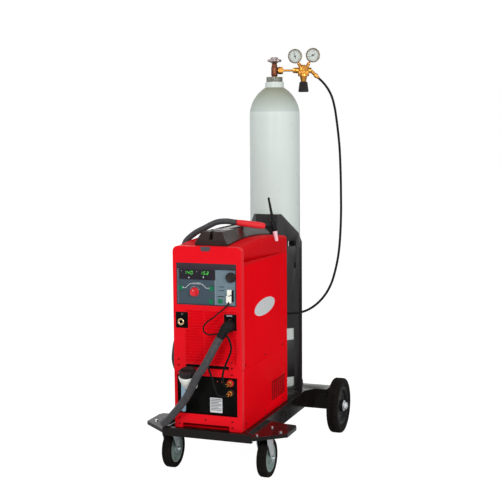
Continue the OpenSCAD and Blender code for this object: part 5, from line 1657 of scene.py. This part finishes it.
@dataclass
class ControlPanel:
    """Control panel: fields, display, printed lines, keys, knob and the cap of the remote socket."""

    face: float = PANEL_FACE
    film: float = 0.00025
    print_out: float = 0.0005
    print_in: float = 0.0001
    knob_at: tuple[float, float] = (-0.053, 0.756)

    def fields(self) -> None:
        """Lays the printed fields on the panel: slate left, paler column right."""
        refined("control_panel", [Finishes.header], 0.0005)
        front, back = self.face - self.film, self.face + 0.0001
        left = box(-0.1255, 0.7045, 0.0335, 0.8465)
        right = box(0.0345, 0.7045, 0.1195, 0.8465)
        self.lay("panel_field_left", [left], front, back, Finishes.slate)
        self.lay("panel_field_right", [right], front, back, Finishes.column)

    def lay(self, name: str, outlines: Sequence[Array], front: float, back: float, finish: Finish) -> Object:
        """Lays thin printed outlines on the panel."""
        return laid("control_panel", name, outlines, front, back, finish)

    def digits(self) -> None:
        """Lights three digits in each window: each is made of up to seven straight bars."""
        bars = {
            "a": (0, 2, 1, 2), "b": (1, 2, 1, 1), "c": (1, 1, 1, 0), "d": (0, 0, 1, 0), "e": (0, 1, 0, 0),
            "f": (0, 2, 0, 1), "g": (0, 1, 1, 1),
        }
        lit = {"1": "bc", "2": "abged", "4": "fgbc", "0": "abcdef", "6": "afgedc", "5": "afgcd"}
        wide, half = 0.0072, 0.0058
        outlines = []
        for start, text in ((-0.0965, "140"), (-0.0285, "152")):
            for place, sign in enumerate(text):
                x, z = start + place * 0.0138, 0.8265
                for bar in lit[sign]:
                    a, b, c, d = bars[bar]
                    ends = np.array([[x + a * wide, z + b * half], [x + c * wide, z + d * half]])
                    along = (ends[1] - ends[0]) / np.linalg.norm(ends[1] - ends[0])
                    ends += np.array([along, -along]) * 0.0009
                    outlines.append(stroke(*ends[0], *ends[1], 0.0021) + np.array([0.0006, 0.0]) * (b + d) / 2)
        outlines.append(box(-0.0145, 0.8262, -0.0127, 0.828))
        self.lay("display_digits", outlines, self.face - 0.00145, self.face - 0.0011, Finishes.digit)

    def display(self) -> None:
        """Sets the dark window with its glossy pane."""
        self.lay(
            "display_pane", [rounded(0.151, 0.0400, 0.002) + [-0.0415, 0.826]], self.face - 0.00135,
            self.face - 0.0009, Finishes.window,
        )
        marks = [
            np.array([[-0.0795, 0.8105], [-0.0735, 0.8105], [-0.0765, 0.8165]]),
            np.array([[-0.0115, 0.8178], [-0.0175, 0.8178], [-0.0145, 0.8118]][::-1]),
        ]
        marks += [
            rounded(0.0022, 0.0022, 0.001, 4) + [-0.0423, 0.838],
            rounded(0.0022, 0.0022, 0.001, 4) + [-0.1085, 0.8385],
        ]
        self.lay("display_marks", marks, self.face - 0.0016, self.face - 0.0012, Finishes.white_ink)

    def lines(self) -> None:
        """Prints the welding cycle's slope, the ticks round the knob and the frame lines of the fields."""
        front, back = self.face - self.print_out, self.face - self.print_in
        thin, cycle_width, small = 0.0015, 0.0017, 0.0011
        cycle = [
            (-0.0975, 0.7715), (-0.0915, 0.7715), (-0.0725, 0.7885), (-0.0215, 0.7885), (-0.0035, 0.7725),
            (0.0085, 0.7725),
        ]
        white = [stroke(*a, *b, cycle_width) for a, b in zip(cycle[:-1], cycle[1:])]
        white += [
            np.array([[-0.1045, 0.7685], [-0.0985, 0.7725], [-0.1045, 0.7765]]),
            np.array([[0.0095, 0.7765], [0.0035, 0.7725], [0.0095, 0.7685]]),
        ]
        white += [stroke(a, 0.7925, b, 0.7925, small) for a, b in ((-0.0605, -0.0535), (-0.0475, -0.0275))]
        x, z = self.knob_at
        near, far = 0.0205, 0.0245
        for turn in np.radians(np.arange(30, 151, 15)):
            c, s = math.cos(turn), math.sin(turn)
            white.append(stroke(x + near * c, z + near * s, x + far * c, z + far * s, 0.0009))
        self.lay("printed_cycle", white, front, back, Finishes.white_ink)
        rows = [
            (-0.1252, 0.8468, 0.0335, 0.8468, thin), (-0.1252, 0.7045, -0.1252, 0.8468, thin),
            (0.0338, 0.7045, 0.0338, 0.8468, thin), (-0.1252, 0.7048, 0.1195, 0.7048, thin),
            (0.0815, 0.7085, 0.0815, 0.797, 0.0006), (-0.121, 0.8545, -0.012, 0.8545, 0.0016),
            (0.0845, 0.8545, 0.113, 0.8545, 0.0012),
        ]
        self.lay("printed_frame", [stroke(*row) for row in rows], front, back, Finishes.grey_ink)

    def painted_shade(self) -> None:
        """Frames the panel with a dark band on its own border: painted shadow of the panel's recess."""
        corner = np.array([list(c) for c in frame["nodes"]["control_panel"].bound_box])
        (x0, _, z0), (x1, _, z1) = corner.min(0), corner.max(0)
        wide = 0.0036
        # Four bars of painted shadow round the panel.
        shadow_bars = [box(x0, z0, x0 + wide, z1), box(x1 - wide, z0, x1, z1)]
        shadow_bars += [box(x0 + wide, z0, x1 - wide, z0 + wide), box(x0 + wide, z1 - wide, x1 - wide, z1)]
        self.lay("panel_shadow_frame", shadow_bars, self.face - 0.0009, self.face + 0.0002, Finishes.painted_shade)

    def rows(self) -> None:
        """Prints short plain bars beside the keys."""
        dark = [stroke(0.0435, z, 0.0505, z, 0.0014) for z in (0.7805, 0.7665)]
        dark += [stroke(0.0535, z, 0.0715, z, 0.0032) for z in (0.7805, 0.7665)]
        dark += [stroke(0.043, 0.7425, 0.0715, 0.7425, 0.0036), stroke(0.0445, 0.7335, 0.052, 0.7335, 0.001)]
        self.lay("printed_rows", dark, self.face - self.print_out, self.face - self.print_in, Finishes.dark_ink)

    def keys(self) -> None:
        """Domes the four keys slightly and marks each with a small dark line."""
        places = {
            "button_left": (-0.113, 0.771), "button_right": (0.0195, 0.772),
            "button_lower": (0.017, 0.721), "button_test": (0.056, 0.724),
        }
        half, wide = 0.003, 0.001
        for node, (x, z) in places.items():
            refined(node, [Finishes.key_green], 0.0014, segments=3)
            bars = [stroke(x - half, z, x + half, z, wide)]
            if node == "button_right":
                bars.append(stroke(x, z - half, x, z + half, wide))
            laid(node, f"{node}_mark", bars, -0.4457, -0.4454, Finishes.dark_ink)

    def knob(self) -> None:
        """Turns the setting knob: a skirt, a fluted side and a dished front with a pale pointer."""
        x, z = self.knob_at
        side = [
            (0.0, 0.0003), (0.0178, 0.0003), (0.018, 0.0008), (0.0178, 0.0026), (0.0148, 0.004), (0.0142, 0.0048),
            (0.0142, 0.006), (0.0138, 0.0172), (0.0132, 0.0186), (0.0122, 0.0190), (0.0105, 0.0186), (0.0, 0.0181),
        ]
        depth = [0, 0, 0, 0, 0, 0.0, 0.0009, 0.0009, 0.0006, 0, 0, 0]
        body = lathe("knob_body", side, (x, self.face, z), (0, -1, 0), Finishes.knob_red, 180, 15, depth, 2.0)
        pointer = slabs(
            "knob_pointer", [stroke(x, z + 0.0045, x, z + 0.0115, 0.0014)], self.face - 0.0189, self.face - 0.0176,
            Finishes.white_ink,
        )
        settle(join_pieces("main_knob_skin", [body, pointer]), "main_knob")

    def remote(self) -> None:
        """Turns the scalloped cap of the remote socket with a dished face."""
        r = 0.02
        side = [
            (0.0, 0.0), (r - 0.0006, 0.0), (r, 0.0008), (r, 0.0105), (r - 0.001, 0.0118), (r - 0.0035, 0.0136),
            (r - 0.0055, 0.014), (r - 0.0075, 0.0132), (0.0, 0.0126),
        ]
        depth = [0, 0.0014, 0.0016, 0.0016, 0.0012, 0, 0, 0, 0]
        made = lathe(
            "remote_cap_skin", side, (0.103, -0.4451, 0.820), (0, -1, 0), Finishes.cap_black, 216, 18, depth, 3.0,
        )
        settle(made, "remote_socket_cap")

    def build(self) -> None:
        """Builds the control panel."""
        self.fields()
        self.display()
        self.digits()
        self.lines()
        self.painted_shade()
        self.rows()
        self.keys()
        self.knob()
        self.remote()


@dataclass
class Sockets:
    """Earth and torch sockets in their black plates."""

    earth: tuple[float, float] = (-0.113, 0.634)
    torch: tuple[float, float] = (0.097, 0.640)

    def build(self) -> None:
        """Rounds the plates, turns the brass bushes and adds a small grey stud."""

        def kind(centre: Array, normal: Array) -> Array:
            """Gives 1 for brass and 2 for the grey stud."""
            chosen = np.zeros(len(centre), int)
            for x, z, reach in ((*self.earth, 0.0141), (*self.torch, 0.0151)):
                away = np.hypot(centre[:, 0] - x, centre[:, 2] - z)
                chosen[(away < reach) & (away > 0.0072)] = 1
            chosen[np.hypot(centre[:, 0] + 0.106, centre[:, 2] - 0.666) < 0.0048] = 2
            return chosen

        refined("output_sockets", [Finishes.panel_black, Finishes.bush, Finishes.latch_grey], 0.0006, kind)
        ring = [(0.0072, 0.0), (0.0136, 0.0), (0.0136, 0.0012), (0.0122, 0.0022), (0.009, 0.0022), (0.0072, 0.0008)]
        bush = lathe(
            "earth_bush", closed(ring), (self.earth[0], -0.4455, self.earth[1]), (0, -1, 0), Finishes.bush, 64,
        )
        settle(bush, "output_sockets", False)
        bare = stroke(0.082, 0.6685, 0.106, 0.6685, 0.0045)
        laid("output_sockets", "socket_mark", [bare], -0.4463, -0.4459, Finishes.grey_ink)


# ---------------------------------------------------------------- cylinder and regulator


@dataclass
class GasBottle:
    """Gas cylinder with its valve, guard ring and handwheel."""

    y: float = 0.3815
    base: float = 0.210
    radius: float = 0.1145
    shoulder: float = 1.468
    spring: float = 1.452
    ogive: float = 0.152
    collar: float = 1.5809

    def shell(self) -> None:
        """Turns the cylinder: concave foot, straight side, arched shoulder of its own paint with painted shade
        towards its top, and collar.
        """

        def kind(centre: Array, normal: Array) -> Array:
            """Gives 1 for the shoulder."""
            return (centre[:, 2] > self.shoulder + 0.002) & (centre[:, 2] < self.collar)

        r, z = self.radius, self.base
        shape = (
            [(0.0, z + 0.034), (0.055, z + 0.02), (r - 0.034, z + 0.010), (r - 0.022, z)]
            + arc(r - 0.014, z + 0.014, 0.014, -70, 0, 10)
        )
        shape += [(r, h) for h in np.linspace(z + 0.05, self.spring - 0.001, 24)]
        shape += arc(r - self.ogive, self.spring, self.ogive, 0, 58.02, 32)
        shape += [
            (0.043, self.collar), (0.043, self.collar + 0.0225), (0.041, self.collar + 0.025),
            (0.0165, self.collar + 0.025), (0.0165, self.collar - 0.012), (0.0, self.collar - 0.012),
        ]
        made = lathe("gas_cylinder_skin", shape, (0.0, self.y, 0.0), (0, 0, 1), Finishes.cylinder, 192, smooth=28.0)
        made.data.materials.append(Finishes.shoulder.material())
        number_faces(made.data, kind)
        settle(made, "gas_cylinder")

    def valve(self) -> None:
        """Finishes the bronze valve and its grey guard ring, and turns the lobed handwheel."""

        def kind(centre: Array, normal: Array) -> Array:
            """Gives 1 for the guard ring."""
            reach = np.hypot(centre[:, 0], centre[:, 1] - self.y)
            return ((reach > 0.0245) & (centre[:, 2] < 1.6295)).astype(int)

        refined("cylinder_valve", [Finishes.copper_bronze, Finishes.guard_grey], 0.0005, kind)
        shape = [
            (0.0062, 0.0), (0.0128, 0.0), (0.0198, 0.0058), (0.0265, 0.0062), (0.0312, 0.0072), (0.0318, 0.0088),
            (0.0318, 0.0152), (0.0308, 0.0168), (0.0262, 0.0176), (0.02, 0.0178), (0.0152, 0.0262), (0.0135, 0.027),
            (0.0, 0.027),
        ]
        depth = [0, 0, 0, 0.001, 0.0036, 0.0042, 0.0042, 0.0036, 0.001, 0, 0, 0, 0]
        made = lathe(
            "handwheel_skin", shape, (0.0, self.y, 1.6902), (0, 0, 1), Finishes.wheel_grey, 192, 8, depth, 1.6,
        )
        settle(made, "valve_handwheel")

    def build(self) -> None:
        """Builds the cylinder."""
        self.shell()
        self.valve()


@dataclass
class Regulator:
    """Two-gauge regulator, turned about the valve by its yaw."""

    yaw: float = 22.0
    axis_y: float = 0.3815
    outlet: float = 1.6579
    reach: float = 0.132
    gauges: tuple[float, float] = (0.093, 0.174)
    gauge_z: tuple[float, float] = (1.7209, 1.7249)
    gauge_r: float = 0.0325
    gauge_t: float = 0.028

    def at(self, u: float, v: float, z: float) -> Array:
        """Gives the place that lies u along the regulator and v behind it."""
        c, s = math.cos(math.radians(self.yaw)), math.sin(math.radians(self.yaw))
        return np.array([u * c - v * s, self.axis_y + u * s + v * c, z])

    def facing(self) -> Array:
        """Gives the direction that the dials look in."""
        return np.array([math.sin(math.radians(self.yaw)), -math.cos(math.radians(self.yaw)), 0.0])

    def body(self) -> None:
        """Finishes the forged body and wraps its bonnet in a knurled band."""
        refined("regulator_body", [Finishes.brass], 0.0008)
        top = self.outlet + 0.002
        band = [
            (0.02, -0.0215), (0.0252, -0.0215), (0.0256, -0.0205), (0.0256, -0.0065), (0.0252, -0.0055),
            (0.02, -0.0055),
        ]
        depth = [0, 0.0006, 0.0011, 0.0011, 0.0006, 0, 0]
        knurl = lathe(
            "bonnet_knurl", closed(band), self.at(self.reach, 0, top), (0, 0, 1), Finishes.brass, 240, 60, depth,
            1.0,
        )
        settle(knurl, "regulator_body", False)

    def knob(self) -> None:
        """Turns the black adjusting knob: flared foot and sixteen flutes."""
        r, h = 0.0235, 0.046
        rise, bonnet, boss, gap = 0.002, 0.028, 0.025, 0.0003
        base = self.outlet + rise - bonnet - boss - gap - h
        shape = [
            (0.0, 0.0), (r - 0.0034, 0.0), (r - 0.001, 0.0012), (r, 0.0035), (r, 0.008), (r - 0.0012, 0.0125),
            (r - 0.005, h - 0.0035), (r - 0.0062, h - 0.0012), (r - 0.0085, h), (0.0, h),
        ]
        depth = [0, 0, 0.0006, 0.0012, 0.0016, 0.0018, 0.0018, 0.0008, 0, 0]
        made = lathe(
            "regulator_knob_skin", shape, self.at(self.reach, 0, base), (0, 0, 1), Finishes.cap_black, 192, 16,
            depth, 2.0,
        )
        settle(made, "regulator_knob")

    def gauge(self, index: int) -> None:
        """Turns one gauge: bright rim, card with a scale over 270 degrees, hub and domed glass."""
        look = self.facing()
        centre = self.at(self.gauges[index], 0.008, self.gauge_z[index])
        r, t = self.gauge_r, self.gauge_t
        rim = [
            (r - 0.0046, t - 0.0012), (r - 0.0030, t + 0.0006), (r - 0.0012, t + 0.0004), (r, t - 0.001),
            (r, t - 0.0068), (r - 0.001, t - 0.0078), (r - 0.0042, t - 0.0078),
        ]
        card = [(0.0016, 0.0161), (r - 0.0041, 0.0161), (r - 0.0041, 0.0164), (0.0016, 0.0164)]
        dome = [
            (0.0, 0.0262), (0.012, 0.0259), (0.022, 0.0249), (r - 0.0042, 0.0236), (r - 0.0042, 0.0226),
            (0.022, 0.0239), (0.012, 0.0249), (0.0, 0.0252),
        ]
        hub = [(0.0, 0.0184), (0.0042, 0.0184), (0.0042, 0.0194), (0.003, 0.0204), (0.0, 0.0206)]
        ring, card, dome, hub = (
            lathe(f"gauge_{name}_{index}", section, centre, look, finish, sides)
            for name, section, finish, sides in (
                ("rim", closed(rim), Finishes.chrome, 96), ("card", closed(card), Finishes.dial, 96),
                ("glass", dome, Finishes.glass, 96), ("hub", hub, Finishes.torch_black, 40),
            )
        )
        turn = np.radians(np.linspace(-135.0, 135.0, 28))
        marks = []
        for n, a in enumerate(turn):
            inner = r - (0.0125 if n % 3 == 0 else 0.0095)
            width = 0.0011 if n % 3 == 0 else 0.0006
            ends = np.array([math.sin(a), math.cos(a)])[None] * np.array([inner, r - 0.0065])[:, None]
            marks.append(stroke(*ends[0], *ends[1], width))
        scale = slabs(f"gauge_scale_{index}", marks, -0.0002, 0.0, Finishes.torch_black)
        stand(scale, (-look[1], look[0], 0.0), look, centre + look * 0.0164)
        settle(join_pieces(f"gauge_face_{index}", [ring, card, scale, hub]), "gauges", False)
        settle(dome, "gauges", False)

    def slimmed(self, corners: Array) -> Array:
        """Draws the front of each case in by 0.4 mm and back by 0.3 mm, so that the rim lies round it."""
        moved = corners.copy()
        for u, z in zip(self.gauges, self.gauge_z):
            off = corners - self.at(u, 0.008, z)
            depth = off @ self.facing()
            out = off - depth[:, None] * self.facing()
            reach = np.linalg.norm(out, axis=1)
            front = (
                (reach > self.gauge_r - 0.0015)
                & (reach < self.gauge_r + 0.001)
                & (depth > self.gauge_t - 0.0085)
                & (depth < self.gauge_t + 0.001)
            )
            moved[front] -= out[front] * (0.0004 / reach[front])[:, None] + self.facing() * 0.0003
        return moved

    def build(self) -> None:
        """Builds the regulator."""
        self.body()
        self.knob()
        refined("gauges", [Finishes.brass], 0.0004, reshape=self.slimmed)
        for index, node in enumerate(("needle_cylinder", "needle_flow")):
            self.gauge(index)
            refined(node, [Finishes.torch_black], 0.0001)


# ---------------------------------------------------------------- torch


@dataclass
class Torch:
    """Torch on top of the handle: red grip, trigger, black head with its long cap, and a ceramic cup."""

    tail: Place = (0.017, -0.1765, 1.0115)
    nose: Place = (0.1153, -0.088, 0.991)
    cup_tip: Place = (0.154, -0.047, 0.9246)
    lean: Place = (-0.036, 0.0, 0.185)

    def grip(self) -> None:
        """Lofts the grip: rings whose two half-axes swell and waist along it, squared off a little."""
        start, end = np.array(self.tail), np.array(self.nose)
        axis = end - start
        length = float(np.linalg.norm(axis))
        first, second, third = basis(axis, (0.0, 0.0, 1.0))
        run = np.linspace(0.0, 1.0, 80)
        stations = [0.0, 0.03, 0.12, 0.3, 0.55, 0.8, 0.93, 0.985, 1.0]
        wide = np.interp(run, stations, [0.0108, 0.0118, 0.0124, 0.0132, 0.0139, 0.0136, 0.0124, 0.0108, 0.0088])
        high = np.interp(run, stations, [0.0108, 0.0119, 0.0128, 0.0136, 0.0139, 0.0138, 0.0128, 0.0112, 0.0092])
        turn = np.linspace(0.0, 2 * np.pi, 64, endpoint=False)
        c, s = np.cos(turn), np.sin(turn)
        squarish = (np.abs(c) ** 2.4 + np.abs(s) ** 2.4) ** (-1 / 2.4)
        grid = (
            start
            + (run * length)[:, None, None] * third
            + (high[:, None] * (c * squarish)[None])[..., None] * first
            + (wide[:, None] * (s * squarish)[None])[..., None] * second
        )
        body = ringed("grip_body", grid, Finishes.grip_red, length, 50.0)
        at, rad = 0.015, 0.0122
        ring = [
            (0.006, 0.0), (rad, 0.0), (rad + 0.0005, 0.0006), (rad + 0.0005, 0.0022), (rad, 0.0028),
            (0.006, 0.0028),
        ]
        band = lathe(
            "grip_band", closed(ring), start + third * (length * at - 0.001), third, Finishes.torch_black, 48,
        )
        settle(join_pieces("torch_handle_skin", [body, band]), "torch_handle")

    def head(self) -> None:
        """Sweeps the neck and turns the head: collar, ribbed body, tapering cap, and the pale cup below."""
        lean = np.array(self.lean) / np.linalg.norm(self.lean)
        tip = np.array(self.cup_tip)
        neck_end = tip + 0.068 * lean
        start, end = np.array(self.tail), np.array(self.nose)
        third = (end - start) / np.linalg.norm(end - start)
        route = [
            end + third * 0.0002, end + third * 0.006, end + third * 0.014, end * 0.45 + neck_end * 0.55,
            neck_end - (neck_end - end) * 0.08, neck_end,
        ]
        path = smooth_path(route, 0.001)
        run = np.linspace(0, 1, len(path))
        radius = np.interp(run, [0.0, 0.12, 0.2, 1.0], [0.0096, 0.0094, 0.0078, 0.0078])
        neck = tube("neck", path, radius, Finishes.torch_black, 32)
        body = [
            (0.0, 0.0425), (0.0098, 0.0425), (0.0112, 0.0435), (0.0128, 0.0448), (0.0128, 0.0500), (0.0122, 0.0508),
            (0.0128, 0.0516), (0.0128, 0.0862), (0.0121, 0.0882), (0.0084, 0.0892), (0.0080, 0.0966),
            (0.0070, 0.0975),
        ]
        body += [
            (0.0062, 0.0985), (0.0058, 0.115), (0.0046, 0.184), (0.0043, 0.1862), (0.0030, 0.1869), (0.0, 0.1870),
        ]
        trunk = lathe("head_trunk", body, tip, lean, Finishes.torch_black, 64)
        cup = [
            (0.0048, 0.0), (0.0058, 0.0), (0.0064, 0.0006), (0.0070, 0.006), (0.0086, 0.028), (0.0099, 0.0405),
            (0.0099, 0.0428), (0.004, 0.0428), (0.0048, 0.02),
        ]
        shell = lathe("head_cup", closed(cup), tip, lean, Finishes.ceramic, 64)
        settle(join_pieces("torch_head_skin", [neck, trunk, shell]), "torch_head")
        needle = lathe(
            "tungsten", [(0.0, 0.0), (0.0008, 0.003), (0.0012, 0.005), (0.0012, 0.03), (0.0, 0.03)], tip, lean,
            Finishes.bright_steel, 24,
        )
        settle(needle, "torch_head", False)

    def build(self) -> None:
        """Builds the torch."""
        self.grip()
        refined("torch_trigger", [Finishes.torch_black], 0.0008)
        self.head()


# ---------------------------------------------------------------- all of it


def main() -> None:
    """Builds the studio, the leads and every sub-assembly."""
    logging.basicConfig(level=logging.INFO, format="%(message)s")
    Studio().build()
    parts: list[object] = [
        Leads(), Cart(), Cooler(), PowerSource(), ControlPanel(), Sockets(), GasBottle(), Regulator(), Torch(),
    ]
    parts += [CasterWheel(side, sign) for side, sign in (("left", -1), ("right", 1))]
    parts += [RearWheel(side, sign) for side, sign in (("left", -1), ("right", 1))]
    for part in parts:
        part.build()
        log.info("built %s", type(part).__name__)
    refined("caster_plates", [Finishes.zinc], 0.0006)


if __name__ == "__main__":
    main()
